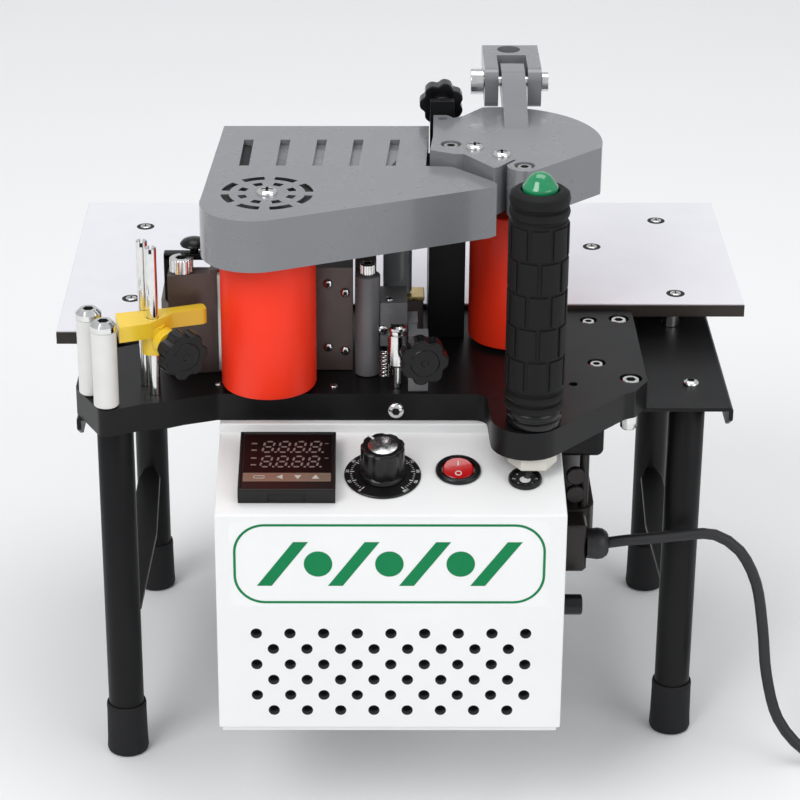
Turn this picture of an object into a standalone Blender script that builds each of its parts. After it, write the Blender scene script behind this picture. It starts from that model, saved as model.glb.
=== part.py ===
"""A bench-top edge banding machine: a small table on four legs with a glue pot, two drive rollers,
the gear train over them, a grip with a start button and a temperature control box underneath.

Every size is in millimetres and is turned into metres by the helpers. X runs along the table from
left to right, Y from the operator to the back and Z up. The floor is z = 0.
"""

import math

import bmesh
import bpy
from mathutils import Matrix, Vector

MM = 0.001
GAP = 0.3

TABLE_HALF_X = 189.4
TABLE_BACK_Y = 170.6
TABLE_TOP = 229.6
BOARD_BOTTOM = 221.8
LEFT_BOARD_FRONT_Y = -25.5
RIGHT_BOARD_FRONT_Y = 12.6
BOARD_JOINT_X = -36.0

PLATE_TOP = 226.4
PLATE_BOTTOM = 211.4
CHANNEL_TOP = PLATE_BOTTOM - GAP
CHANNEL_WALL = 2.2
CHANNEL_OUTER_X = 172.4
CHANNEL_INNER_X = 112.0
CHANNEL_BACK_Y = 160.0
CHANNEL_DROP = 15.0

LEG_RADIUS = 9.7
LEG_AXES = {
    "front_left": (-153.8, -81.0),
    "front_right": (151.2, -57.5),
    "back_left": (-151.0, 109.0),
    "back_right": (152.5, 109.0),
}
FOOT_RADIUS = 10.9
FOOT_HEIGHT = 30.5
FOOT_FLOOR = 4.0
BRACE_LOW = 82.0
BRACE_THICK = 3.0

BOX_LOW_X = -97.2
BOX_HIGH_X = 79.8
BOX_FRONT_Y = -170.6
BOX_BACK_Y = -76.0
BOX_STEP_Y = -103.7
BOX_BOTTOM = 68.1
PANEL_TOP = 205.6
PANEL_BOTTOM = 192.2
BOX_WALL = 1.5
PANEL_TILT = math.atan2(PANEL_TOP - PANEL_BOTTOM, BOX_STEP_Y - BOX_FRONT_Y)
VENT_RADIUS = 2.93
VENT_PITCH_X = 17.2
VENT_PITCH_Z = 9.12
VENT_FIRST_X = -77.1
VENT_TOP_Z = 124.4
VENT_ROWS = 6

FRONT_AXIS = (-71.5, -88.0)
REAR_AXIS = (59.0, -25.0)
ROLLER_RADIUS = 24.7
ROLLER_LOW = 228.4
ROLLER_HIGH = 303.5
AXLE_RADIUS = 6.0
GEAR_LOW = 316.0
GEAR_HIGH = 324.0
MODULE = 2.0
DRIVE_TEETH = 26
IDLER_TEETH = 48
GLUE_TEETH = 16
GLUE_ANGLE = math.radians(103.0)
GLUE_ROLLER_RADIUS = 16.8
GLUE_SPINDLE_RADIUS = 4.0
IDLER_PIN_RADIUS = 4.0

COVER_LOW = 305.5
COVER_TOP = 333.0
COVER_WALL = 2.5
COVER_ROOF = 3.0
DISC_LOW = 313.5
DISC_TOP = 339.5

POT_TOP = 285.0
POT_LOW = PLATE_TOP + GAP
WELL_FLOOR = 238.0

HANDLE_AXIS = (63.8, -133.0)
HANDLE_TOP = 352.5
GUIDE_OUTER_AXIS = (-163.4, -98.0)
GUIDE_INNER_AXIS = (-154.4, -114.0)
PIN_BACK_AXIS = (-135.9, -87.7)
PIN_FRONT_AXIS = (-130.5, -99.0)
PIN_RADIUS = 2.95
GUIDE_TOP = 269.4
GUIDE_LOW = 261.0
KNOB_RADIUS = 12.75
CLEVIS_AXIS = (42.0, 349.0)

CORD_RADIUS = 3.1
CORD_EXIT = (107.0, -78.0, 127.4)
COIL_CENTRE = (288.0, -62.0)
COIL_TURN = 42.2
COIL_INNER = 26.6
COIL_OUTER = 45.4
COIL_HEIGHT = 12.6

MATERIALS = {
    "white_laminate": ((0.78, 0.77, 0.74), 0.35, 0.0),
    "black_steel": ((0.012, 0.012, 0.013), 0.38, 0.3),
    "white_steel": ((0.82, 0.82, 0.80), 0.4, 0.0),
    "grey_casting": ((0.20, 0.21, 0.22), 0.35, 0.3),
    "black_rubber": ((0.015, 0.015, 0.016), 0.75, 0.0),
    "black_plastic": ((0.012, 0.012, 0.013), 0.35, 0.0),
    "orange_silicone": ((0.75, 0.07, 0.02), 0.4, 0.0),
    "brown_ptfe": ((0.10, 0.055, 0.045), 0.45, 0.0),
    "chrome_steel": ((0.78, 0.78, 0.77), 0.15, 1.0),
    "white_nylon": ((0.85, 0.85, 0.83), 0.4, 0.0),
    "yellow_plastic": ((0.85, 0.60, 0.04), 0.4, 0.0),
    "green_plastic": ((0.05, 0.50, 0.16), 0.2, 0.0),
    "red_plastic": ((0.65, 0.02, 0.02), 0.3, 0.0),
    "aluminium": ((0.60, 0.60, 0.60), 0.35, 1.0),
}


def clear_scene():
    for obj in list(bpy.data.objects):
        bpy.data.objects.remove(obj, do_unlink=True)


def new_collection(name):
    collection = bpy.data.collections.new(name)
    bpy.context.scene.collection.children.link(collection)
    return collection


clear_scene()
PARTS = new_collection("edge_banding_machine")
CUTTERS = new_collection("cutters")


def point(x, y, z):
    return Vector((x, y, z)) * MM


def material(slot):
    found = bpy.data.materials.get(slot)
    if found:
        return found
    colour, roughness, metallic = MATERIALS[slot]
    made = bpy.data.materials.new(slot)
    made.use_nodes = True
    shader = made.node_tree.nodes["Principled BSDF"]
    shader.inputs["Base Color"].default_value = (*colour, 1.0)
    shader.inputs["Roughness"].default_value = roughness
    shader.inputs["Metallic"].default_value = metallic
    return made


def new_object(name, mesh, location=(0.0, 0.0, 0.0), turn=None):
    obj = bpy.data.objects.new(name, mesh)
    obj.location = location
    if turn is not None:
        obj.rotation_mode = "QUATERNION"
        obj.rotation_quaternion = turn
    PARTS.objects.link(obj)
    return obj


def finish(obj, slot, smooth=True):
    """Gives a piece its material and shades its round faces smooth."""
    obj.data.materials.clear()
    obj.data.materials.append(material(slot))
    if smooth and obj.type == "MESH":
        obj.data.shade_smooth()
        obj.data.set_sharp_from_angle(angle=math.radians(35))
    return obj


def set_origin(obj, x, y, z):
    """Moves the origin of an unturned object, so that a moving piece turns about its own joint."""
    target = point(x, y, z)
    obj.data.transform(Matrix.Translation(obj.location - target))
    obj.location = target
    return obj


def facing(direction):
    return Vector(direction).to_track_quat("Z", "Y")


def box(name, low, high, bevel=0.0, segments=1):
    """A box between two corners, with its edges rounded by a Bevel modifier if bevel is given."""
    centre = (Vector(low) + Vector(high)) / 2
    size = Vector(high) - Vector(low)
    mesh = bpy.data.meshes.new(name)
    shape = bmesh.new()
    bmesh.ops.create_cube(shape, size=1.0)
    bmesh.ops.scale(shape, vec=size * MM, verts=shape.verts)
    shape.to_mesh(mesh)
    shape.free()
    obj = new_object(name, mesh, centre * MM)
    if bevel:
        add_bevel(obj, bevel, segments)
    return obj


def add_bevel(obj, width, segments=1):
    modifier = obj.modifiers.new("rounded_edges", "BEVEL")
    modifier.width = width * MM
    modifier.segments = segments
    modifier.limit_method = "ANGLE"
    modifier.angle_limit = math.radians(50)


def cylinder(name, base, radius, length, direction=(0, 0, 1), sides=24, end_radius=None):
    """A cylinder or cone from the centre of its base, along a direction."""
    mesh = bpy.data.meshes.new(name)
    shape = bmesh.new()
    bmesh.ops.create_cone(
        shape,
        cap_ends=True,
        segments=sides,
        radius1=radius * MM,
        radius2=(radius if end_radius is None else end_radius) * MM,
        depth=length * MM,
        matrix=Matrix.Translation((0, 0, length * MM / 2)),
    )
    shape.to_mesh(mesh)
    shape.free()
    return new_object(name, mesh, Vector(base) * MM, facing(direction))


def turned(name, base, profile, direction=(0, 0, 1), sides=32, ring=False):
    """A turned piece: (radius, height) points down its outer side, swept by a Screw modifier."""
    corners = [(radius * MM, 0.0, height * MM) for radius, height in profile]
    edges = [(i, i + 1) for i in range(len(corners) - 1)]
    if ring:
        edges.append((len(corners) - 1, 0))
    mesh = bpy.data.meshes.new(name)
    mesh.from_pydata(corners, edges, [])
    obj = new_object(name, mesh, Vector(base) * MM, facing(direction))
    screw = obj.modifiers.new("turning", "SCREW")
    screw.steps = sides
    screw.render_steps = sides
    screw.use_merge_vertices = True
    screw.merge_threshold = 0.00001
    screw.use_smooth_shade = True
    return obj


def curve_to_mesh(obj):
    """Replaces a curve object by its mesh, with the caps welded to the sides."""
    bpy.context.view_layer.update()
    graph = bpy.context.evaluated_depsgraph_get()
    mesh = bpy.data.meshes.new_from_object(obj.evaluated_get(graph))
    shape = bmesh.new()
    shape.from_mesh(mesh)
    bmesh.ops.remove_doubles(shape, verts=shape.verts, dist=0.000001)
    bmesh.ops.recalc_face_normals(shape, faces=shape.faces)
    shape.to_mesh(mesh)
    shape.free()
    name, place = obj.name, obj.matrix_world.copy()
    bpy.data.objects.remove(obj, do_unlink=True)
    made = new_object(name, mesh)
    made.matrix_world = place
    return made


def plate(name, outline, low, high, turn=None):
    """A flat outline made thick between two heights along local Z, then turned if asked."""
    curve = bpy.data.curves.new(name, "CURVE")
    curve.dimensions = "2D"
    curve.fill_mode = "BOTH"
    curve.extrude = (high - low) / 2 * MM
    spline = curve.splines.new("POLY")
    spline.points.add(len(outline) - 1)
    for slot, (x, y) in zip(spline.points, outline):
        slot.co = (x * MM, y * MM, 0.0, 1.0)
    spline.use_cyclic_u = True
    obj = bpy.data.objects.new(name, curve)
    PARTS.objects.link(obj)
    lift = Matrix.Translation((0, 0, (low + high) / 2 * MM))
    made = curve_to_mesh(obj)
    made.data.transform(lift if turn is None else turn @ lift)
    return made


# Maps a (y, z) outline made thick along X, and an (x, z) outline made thick along Y.
ALONG_X = Matrix(((0, 0, 1, 0), (1, 0, 0, 0), (0, 1, 0, 0), (0, 0, 0, 1)))
ALONG_Y = Matrix(((1, 0, 0, 0), (0, 0, -1, 0), (0, 1, 0, 0), (0, 0, 0, 1)))


def tube(name, route, radius, resolution=2):
    """A round bar or cord along points, kept as a bevelled curve with filled caps."""
    curve = bpy.data.curves.new(name, "CURVE")
    curve.dimensions = "3D"
    curve.bevel_depth = radius * MM
    curve.bevel_resolution = resolution
    curve.use_fill_caps = True
    spline = curve.splines.new("POLY")
    spline.points.add(len(route) - 1)
    for slot, place in zip(spline.points, route):
        slot.co = (*(Vector(place) * MM), 1.0)
    obj = bpy.data.objects.new(name, curve)
    PARTS.objects.link(obj)
    return obj


def as_tool(tool):
    PARTS.objects.unlink(tool)
    CUTTERS.objects.link(tool)
    tool.hide_render = True
    tool.display_type = "WIRE"


def combine(obj, tools, operation):
    for tool in tools:
        modifier = obj.modifiers.new(tool.name, "BOOLEAN")
        modifier.operation = operation
        modifier.solver = "EXACT"
        modifier.object = tool
        as_tool(tool)
    return obj


def cut(obj, *tools):
    return combine(obj, tools, "DIFFERENCE")


def join(obj, *tools):
    return combine(obj, tools, "UNION")


def arc(centre, radius, start, end, steps):
    """Points of an arc, in degrees, both ends included."""
    angles = [math.radians(start + (end - start) * i / steps) for i in range(steps + 1)]
    return [(centre[0] + radius * math.cos(a), centre[1] + radius * math.sin(a)) for a in angles]


def rounded(corners, steps=4):
    """An outline from (x, y) corners, where a corner given as (x, y, r) is rounded to radius r."""
    outline = []
    count = len(corners)
    for i, corner in enumerate(corners):
        here = Vector(corner[:2])
        if len(corner) == 2:
            outline.append(tuple(here))
            continue
        back = (Vector(corners[i - 1][:2]) - here).normalized()
        ahead = (Vector(corners[(i + 1) % count][:2]) - here).normalized()
        half = back.angle(ahead) / 2
        middle = here + (back + ahead).normalized() * corner[2] / math.sin(half)
        first = here + back * corner[2] / math.tan(half) - middle
        last = here + ahead * corner[2] / math.tan(half) - middle
        sweep = first.angle_signed(last)
        for step in range(steps + 1):
            spot = middle + Matrix.Rotation(-sweep * step / steps, 2) @ first
            outline.append(tuple(spot))
    return outline


def inset(outline, distance):
    """The same outline moved inwards by a distance; the outline runs anticlockwise."""
    moved = []
    count = len(outline)
    for i in range(count):
        before, here, after = (Vector(outline[(i + k) % count]) for k in (-1, 0, 1))
        first = (here - before).normalized()
        second = (after - here).normalized()
        inward = Vector((-first.y - second.y, first.x + second.x)).normalized()
        stretch = max(inward.dot(Vector((-first.y, first.x))), 0.4)
        moved.append(tuple(here + inward * distance / stretch))
    return moved


def smooth_route(knots, spacing):
    """Points along a Catmull-Rom curve through the knots, about one every spacing millimetres."""
    knots = [Vector(k) for k in knots]
    first = knots[0] * 2 - knots[1]
    last = knots[-1] * 2 - knots[-2]
    padded = [first, *knots, last]
    route = [knots[0]]
    for a, b, c, d in zip(padded, padded[1:], padded[2:], padded[3:]):
        steps = max(1, round((c - b).length / spacing))
        for step in range(1, steps + 1):
            t = step / steps
            straight = 2 * b + (c - a) * t
            bend = (2 * a - 5 * b + 4 * c - d) * t**2 + (3 * b - a - 3 * c + d) * t**3
            route.append((straight + bend) / 2)
    return route


def on_panel(x, y, lift=0.0):
    """A point on the sloped control panel, or lift millimetres above it, square to it."""
    z = PANEL_TOP - (BOX_STEP_Y - y) * math.tan(PANEL_TILT)
    return Vector((x, y, z)) + Vector(PANEL_NORMAL) * lift


PANEL_NORMAL = (0.0, -math.sin(PANEL_TILT), math.cos(PANEL_TILT))


def gear_outline(teeth, phase):
    """A straight-flanked gear, with a tooth centred on the phase angle and 0.3 mm of backlash."""
    pitch = MODULE * teeth / 2
    quarter = math.pi / (2 * teeth)
    play = 0.15 / pitch
    shape = (
        (pitch - 1.25 * MODULE, 1.62 * quarter - play),
        (pitch + 0.95 * MODULE, 0.42 * quarter - play),
    )
    outline = []
    for tooth in range(teeth):
        middle = phase + 2 * math.pi * tooth / teeth
        spots = [(r, middle - a) for r, a in shape] + [(r, middle + a) for r, a in reversed(shape)]
        outline += [(r * math.cos(a), r * math.sin(a)) for r, a in spots]
    return outline


def star_outline(radius, lobes=7, depth=1.7, steps=6):
    """A knob's rim: round lobes with shallow hollows between them."""
    outline = []
    for i in range(lobes * steps):
        angle = 2 * math.pi * i / (lobes * steps)
        wave = abs(math.cos(lobes * angle / 2))
        outline.append(((radius - depth * (1 - wave) ** 1.5) * math.cos(angle),
                        (radius - depth * (1 - wave) ** 1.5) * math.sin(angle)))
    return outline


def build_table():
    for side, low_x, high_x, front in (
        ("left", -TABLE_HALF_X, BOARD_JOINT_X - 0.2, LEFT_BOARD_FRONT_Y),
        ("right", BOARD_JOINT_X + 0.2, TABLE_HALF_X, RIGHT_BOARD_FRONT_Y),
    ):
        board = box(
            f"table_board_{side}",
            (low_x, front, BOARD_BOTTOM),
            (high_x, TABLE_BACK_Y, TABLE_TOP),
            bevel=0.6,
        )
        finish(board, "white_laminate", smooth=False)


def build_channels():
    """Folded steel rails under both ends of the table: a flat top and a lip down the outer side."""
    low = CHANNEL_TOP - CHANNEL_DROP
    for side, sign, front in (("left", -1, -96.0), ("right", 1, -84.3)):
        fold = [
            (CHANNEL_INNER_X, CHANNEL_TOP - CHANNEL_WALL),
            (CHANNEL_OUTER_X - CHANNEL_WALL, CHANNEL_TOP - CHANNEL_WALL),
            (CHANNEL_OUTER_X - CHANNEL_WALL, low),
            (CHANNEL_OUTER_X, low),
            (CHANNEL_OUTER_X, CHANNEL_TOP - 1.2),
            (CHANNEL_OUTER_X - 1.2, CHANNEL_TOP),
            (CHANNEL_INNER_X, CHANNEL_TOP),
        ]
        fold = [(sign * x, z) for x, z in fold]
        if sign < 0:
            fold.reverse()
        rail = plate(f"side_channel_{side}", fold, -CHANNEL_BACK_Y, -front, ALONG_Y)
        lip = sorted((sign * (CHANNEL_OUTER_X - 6.0), sign * (CHANNEL_OUTER_X + 4.0)))
        for end, inward in ((front, 1.0), (CHANNEL_BACK_Y, -1.0)):
            corner = [
                (end - 2.0 * inward, low - 2.0),
                (end + 16.0 * inward, low - 2.0),
                (end - 2.0 * inward, low + 9.0),
            ]
            cut(rail, plate("taper_tool", corner if inward > 0 else corner[::-1], *lip, ALONG_X))
        finish(rail, "black_steel", smooth=False)


def build_legs():
    for name, (x, y) in LEG_AXES.items():
        top = CHANNEL_TOP - CHANNEL_WALL - GAP
        leg = cylinder(f"leg_{name}", (x, y, FOOT_FLOOR + GAP), LEG_RADIUS, top - FOOT_FLOOR - GAP)
        finish(leg, "black_steel")
        cup = LEG_RADIUS + GAP
        foot = turned(
            f"foot_{name}",
            (x, y, 0.0),
            [
                (0, FOOT_FLOOR),
                (cup, FOOT_FLOOR),
                (cup, FOOT_HEIGHT),
                (FOOT_RADIUS, FOOT_HEIGHT),
                (FOOT_RADIUS + 0.7, 1.5),
                (FOOT_RADIUS - 0.3, 0),
                (0, 0),
            ],
            sides=24,
        )
        finish(foot, "black_rubber")


def build_braces():
    """Flat bars that tie the front leg to the back leg on each side."""
    for side, sign in (("left", -1), ("right", 1)):
        front = LEG_AXES[f"front_{side}"][1] + LEG_RADIUS + GAP
        back = LEG_AXES[f"back_{side}"][1] - LEG_RADIUS - GAP
        middle = (front + back) / 2
        edge = [(144.5, front), (158.0, front), (158.0, back - 12.0), (155.0, back), (149.0, back)]
        bulge = [(144.9, back - 12.0), (141.9, middle)]
        outline = [(sign * x, y) for x, y in edge + bulge]
        if sign < 0:
            outline.reverse()
        bar = plate(f"leg_brace_{side}", outline, BRACE_LOW, BRACE_LOW + BRACE_THICK)
        finish(bar, "black_steel", smooth=False)


def build_base_plate():
    outline = rounded(
        [
            (-172.4, -91.7, 4.0),
            (-156.8, -122.1, 5.0),
            (-135.8, -112.2),
            (-123.2, -109.7),
            (-115.8, -106.0),
            (-98.0, -99.7, 8.0),
            (41.5, -99.7, 7.0),
            *arc((61.2, -128.8), 18.8, 180.0, 316.0, 12),
            (112.0, -100.8),
            (114.0, -98.9),
            (119.0, -96.3, 3.0),
            (126.5, -83.0, 3.0),
            (126.4, 11.6, 6.0),
            (BOARD_JOINT_X, 11.6),
            (BOARD_JOINT_X, -26.5),
            (-128.0, -26.5, 5.0),
            (-172.4, -50.0, 5.0),
        ]
    )
    base = plate("base_plate", outline, PLATE_BOTTOM, PLATE_TOP)
    tools = []
    sinks = ((101.5, -2.6, 9.6), (118.3, -0.6, 11.3), (101.5, -59.7, 9.9), (118.0, -79.8, 12.0))
    for x, y, across in sinks:
        tools.append(cylinder("sink_tool", (x, y, PLATE_TOP - 6.0), across / 2, 8.0, sides=20))
    tools.append(cylinder("shaft_tool", (*REAR_AXIS, PLATE_BOTTOM - 2), AXLE_RADIUS + 2.5, 20.0, sides=20))
    tools.append(cylinder("stud_tool", (*HANDLE_AXIS, PLATE_BOTTOM - 2), 8.6, 20.0, sides=24))
    tools.append(cylinder("small_tool", (87.3, -87.2, PLATE_TOP - 5.0), 2.4, 8.0, sides=12))
    finish(cut(base, *tools), "black_steel", smooth=False)


def build_control_box():
    profile = [
        (BOX_STEP_Y, CHANNEL_TOP),
        (BOX_STEP_Y, PANEL_TOP),
        (BOX_FRONT_Y, PANEL_BOTTOM),
        (BOX_FRONT_Y, BOX_BOTTOM),
        (BOX_BACK_Y, BOX_BOTTOM),
        (BOX_BACK_Y, CHANNEL_TOP),
    ]
    shell = plate("control_box", profile, BOX_LOW_X, BOX_HIGH_X, ALONG_X)
    hollow = inset(profile, BOX_WALL)
    hollow[3] = (hollow[3][0], BOX_BOTTOM - 5.0)
    hollow[4] = (hollow[4][0], BOX_BOTTOM - 5.0)
    cut(shell, plate("hollow_tool", hollow, BOX_LOW_X + BOX_WALL, BOX_HIGH_X - BOX_WALL, ALONG_X))
    for row in range(VENT_ROWS):
        shift = 0.5 * (row % 2)
        for column in range(9 - row % 2):
            x = VENT_FIRST_X + VENT_PITCH_X * (column + shift)
            z = VENT_TOP_Z - VENT_PITCH_Z * row
            cut(shell, cylinder("vent_tool", (x, BOX_FRONT_Y - 2, z), VENT_RADIUS, 5.0, (0, 1, 0), 6))
    for x, y, radius in ((-12.6, -138.6, 3.6), (26.0, -135.2, 10.3), (59.8, -142.3, 7.6)):
        base = on_panel(x, y, -5.0)
        cut(shell, cylinder("panel_tool", base, radius, 10.0, PANEL_NORMAL, 24))
    cut(shell, panel_box("window_tool", (-61.1, -137.2), 45.0, 45.0, -6.0, 6.0))
    cut(shell, cylinder("fuse_tool", (BOX_HIGH_X - 4, -100.0, 102.0), 6.2, 8.0, (1, 0, 0), 20))
    finish(shell, "white_steel", smooth=False)
    floor = box(
        "control_box_floor",
        (BOX_LOW_X + BOX_WALL + GAP, BOX_FRONT_Y + BOX_WALL + GAP, 65.5),
        (BOX_HIGH_X - BOX_WALL - GAP, BOX_BACK_Y - BOX_WALL - GAP, 67.8),
    )
    finish(floor, "white_steel", smooth=False)


def panel_box(name, centre, width, height, low, high):
    """A box square to the sloped panel, low and high millimetres from its surface."""
    made = box(name, (-width / 2, -height / 2, low), (width / 2, height / 2, high))
    made.location = Vector((0, 0, 0))
    made.data.transform(Matrix.Translation((0, 0, (low + high) / 2 * MM)))
    made.data.transform(Matrix.Rotation(PANEL_TILT, 4, "X"))
    made.location = on_panel(*centre) * MM
    return made


def build_panel_parts():
    screen = panel_box("temperature_controller", (-61.1, -137.2), 48.0, 48.0, GAP, 9.0)
    join(screen, panel_box("screen_tool", (-61.1, -137.2), 44.2, 44.2, -55.0, 4.0))
    finish(screen, "black_plastic", smooth=False)

    dial_place = (-12.6, -138.6)
    ring = [(19.6, 1.3), (19.6, GAP), (4.0, GAP), (4.0, 1.3)]
    finish(turned("dial_plate", on_panel(*dial_place), ring, PANEL_NORMAL, 40, True), "black_plastic")
    knob = [
        (0, 19.5),
        (10.9, 19.5),
        (11.6, 18.0),
        (11.9, 3.0),
        (11.9, 1.7),
        (3.2, 1.7),
        (3.2, -12),
        (0, -12),
    ]
    finish(turned("speed_knob", on_panel(*dial_place), knob, PANEL_NORMAL, 32), "black_plastic")

    switch_place = (26.0, -135.2)
    bezel = [(11.65, 2.3), (11.65, GAP), (9.9, GAP), (9.9, -14.0), (9.2, -14.0), (9.2, 2.3)]
    finish(turned("rocker_bezel", on_panel(*switch_place), bezel, PANEL_NORMAL, 32, True), "black_plastic")
    rocker = cylinder("rocker_switch", on_panel(*switch_place, -2.4), 8.6, 4.8, (0, 0, 1), 28)
    rocker.data.transform(Matrix.Translation((0, 0, -2.4 * MM)))
    rocker.location = on_panel(*switch_place) * MM
    rocker.rotation_mode = "XYZ"
    rocker.rotation_euler = (PANEL_TILT + math.radians(8.0), 0, 0)
    finish(rocker, "red_plastic")

    collar = [(7.9, 2.6), (8.6, 1.4), (8.6, GAP), (7.3, GAP), (7.3, -2.5), (6.9, -2.5), (6.9, 2.6)]
    grommet = turned("cable_grommet", on_panel(59.8, -142.3), collar, PANEL_NORMAL, 24, True)
    cut(grommet, cylinder("cable_tool", (60.1, -141.6, 192.8), 2.9, 22.0, (1.7, 3.8, 6.6), 20))
    finish(grommet, "chrome_steel")

    fuse = [
        (0, 15.3),
        (4.6, 15.3),
        (5.6, 14.3),
        (5.6, 3.2),
        (7.0, 2.2),
        (7.0, GAP),
        (5.8, GAP),
        (5.8, -14),
        (0, -14),
    ]
    finish(turned("fuse_holder", (BOX_HIGH_X, -100.0, 102.0), fuse, (1, 0, 0), 24), "black_plastic")


def build_motor():
    top = PLATE_BOTTOM - GAP
    case = box("gearbox", (14.0, -70.0, 175.0), (106.5, 20.0, top), bevel=2.5)
    cut(case, cylinder("bore_tool", (*REAR_AXIS, 179.0), AXLE_RADIUS + GAP, 40.0, sides=20))
    finish(case, "black_steel", smooth=False)

    x, y = REAR_AXIS
    body = cylinder("drive_motor", (x, y, 140.0), 41.5, 34.7, sides=40)
    bell = plate(
        "bell_tool",
        rounded([(x + 44 * i, y + 44 * j, 10.0) for i, j in ((-1, -1), (1, -1), (1, 1), (-1, 1))]),
        121.0,
        143.0,
    )
    fan = cylinder("fan_tool", (x, y, 106.0), 30.0, 16.0, sides=40, end_radius=42.0)
    terminals = box("terminal_tool", (80.8, -85.0, 113.0), (98.0, -56.0, 142.0), bevel=2.0)
    join(body, bell, fan, terminals)
    for dx in (-38.0, 38.0):
        for dy in (-38.0, 38.0):
            join(body, cylinder("rod_tool", (x + dx, y + dy, 142.0), 2.6, 32.7, sides=12))
    cut(body, cylinder("gland_tool", (88.0, -78.0, 127.4), 4.6, 12.0, (1, 0, 0), 20))
    finish(body, "black_plastic")


def build_cord():
    x, y, z = CORD_EXIT
    relief = [(5.2, 12.0), (7.4, 10.5), (8.6, 7.5), (8.6, GAP), (4.2, GAP), (4.2, -9.5), (0, -9.5)]
    recess = 12.0 - 3.3 - GAP
    boss = [(0, recess), (3.5, recess), *relief]
    gland = turned("cord_gland", (98.0, y, z), boss, (1, 0, 0), 24)
    finish(gland, "black_rubber")
    knots = [
        (x + GAP, y, z),
        (119.4, -79.4, 130.0),
        (137.7, -80.0, 132.0),
        (153.8, -80.0, 133.9),
        (167.2, -80.0, 133.7),
        (181.0, -81.0, 124.5),
        (191.0, -82.0, 105.0),
        (196.0, -83.5, 78.0),
        (199.5, -86.0, 50.0),
        (207.0, -90.0, 24.0),
        (222.0, -96.0, 7.5),
        (241.0, -101.6, 3.6),
        (264.2, COIL_CENTRE[1] - COIL_TURN, 3.4),
    ]
    cord = tube("power_cord", smooth_route(knots, 8.0), CORD_RADIUS, 2)
    finish(cord, "black_rubber")
    ring = [
        (COIL_OUTER, COIL_HEIGHT),
        (COIL_OUTER, GAP),
        (COIL_INNER, GAP),
        (COIL_INNER, COIL_HEIGHT),
    ]
    finish(turned("cord_coil", (*COIL_CENTRE, 0.0), ring, sides=40, ring=True), "black_rubber")


def build_plug():
    """A straight moulded plug with three pins, lying beside the coil."""
    x = COIL_CENTRE[0] + COIL_TURN
    tail = -36.0
    height = 11.6
    body = box("power_plug", (x - 13.5, 6.0, 0.6), (x + 13.5, 38.0, 22.6), bevel=3.0, segments=2)
    tool = cylinder("relief_tool", (x, tail, height), 4.0, 44.0, (0, 1, 0), 20, end_radius=6.5)
    join(body, tool)
    for dx in (-6.3, 6.3):
        join(body, box("blade_tool", (x + dx - 0.8, 36.0, height), (x + dx + 0.8, 54.0, height + 6.4)))
    join(body, cylinder("earth_tool", (x, 36.0, height - 5.2), 2.4, 20.0, (0, 1, 0), 12))
    finish(body, "black_rubber", smooth=False)


def idler_axis():
    """The idler sits as far from one roller gear as from the other, behind the line between them."""
    front, rear = Vector(FRONT_AXIS), Vector(REAR_AXIS)
    reach = MODULE * (DRIVE_TEETH + IDLER_TEETH) / 2
    half = (rear - front) / 2
    side = math.sqrt(reach**2 - half.length**2)
    across = Vector((-half.y, half.x)).normalized()
    return tuple(front + half + across * side)


def glue_axis():
    reach = MODULE * (DRIVE_TEETH + GLUE_TEETH) / 2
    x, y = FRONT_AXIS
    return (x + reach * math.cos(GLUE_ANGLE), y + reach * math.sin(GLUE_ANGLE))


def meshing_phase(phase, teeth, other_teeth, direction):
    """The phase of a gear whose gap meets the tooth of its neighbour along a direction."""
    tooth = (direction - phase) / (2 * math.pi / teeth)
    offset = tooth - round(tooth)
    return direction + math.pi + (0.5 + offset) * 2 * math.pi / other_teeth


def angle_to(start, end):
    return math.atan2(end[1] - start[1], end[0] - start[0])


def gear(name, axis, teeth, phase, bore, hub_radius, hub_low, hub_high):
    """A gear wheel on a short hub, bored for its shaft, with its origin on its axis."""
    wheel = plate(name, gear_outline(teeth, phase), GEAR_LOW, GEAR_HIGH)
    hub = cylinder("hub_tool", (0, 0, hub_low), hub_radius, hub_high - hub_low, sides=16)
    hole = cylinder("bore_tool", (0, 0, hub_low - 2), bore, hub_high - hub_low + 4, sides=16)
    for tool in (hub, hole):
        tool.location += point(*axis, 0)
    wheel.location = point(*axis, 0)
    finish(cut(join(wheel, hub), hole), "black_plastic", smooth=False)


def build_gears():
    idler, glue = idler_axis(), glue_axis()
    rear_phase = 0.0
    idler_phase = meshing_phase(rear_phase, DRIVE_TEETH, IDLER_TEETH, angle_to(REAR_AXIS, idler))
    front_phase = meshing_phase(idler_phase, IDLER_TEETH, DRIVE_TEETH, angle_to(idler, FRONT_AXIS))
    glue_phase = meshing_phase(front_phase, DRIVE_TEETH, GLUE_TEETH, angle_to(FRONT_AXIS, glue))
    bore = AXLE_RADIUS + GAP
    gear("rear_gear", REAR_AXIS, DRIVE_TEETH, rear_phase, bore, 11.0, 312.0, GEAR_HIGH + 1)
    gear("idler_gear", idler, IDLER_TEETH, idler_phase, IDLER_PIN_RADIUS + 0.4, 10.0, 313.0, GEAR_HIGH + 4)
    gear("front_gear", FRONT_AXIS, DRIVE_TEETH, front_phase, AXLE_RADIUS + 0.4, 10.5, 304.0, GEAR_HIGH + 2)
    gear("glue_gear", glue, GLUE_TEETH, glue_phase, GLUE_SPINDLE_RADIUS + GAP, 8.0, 311.0, GEAR_HIGH + 1)


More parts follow.
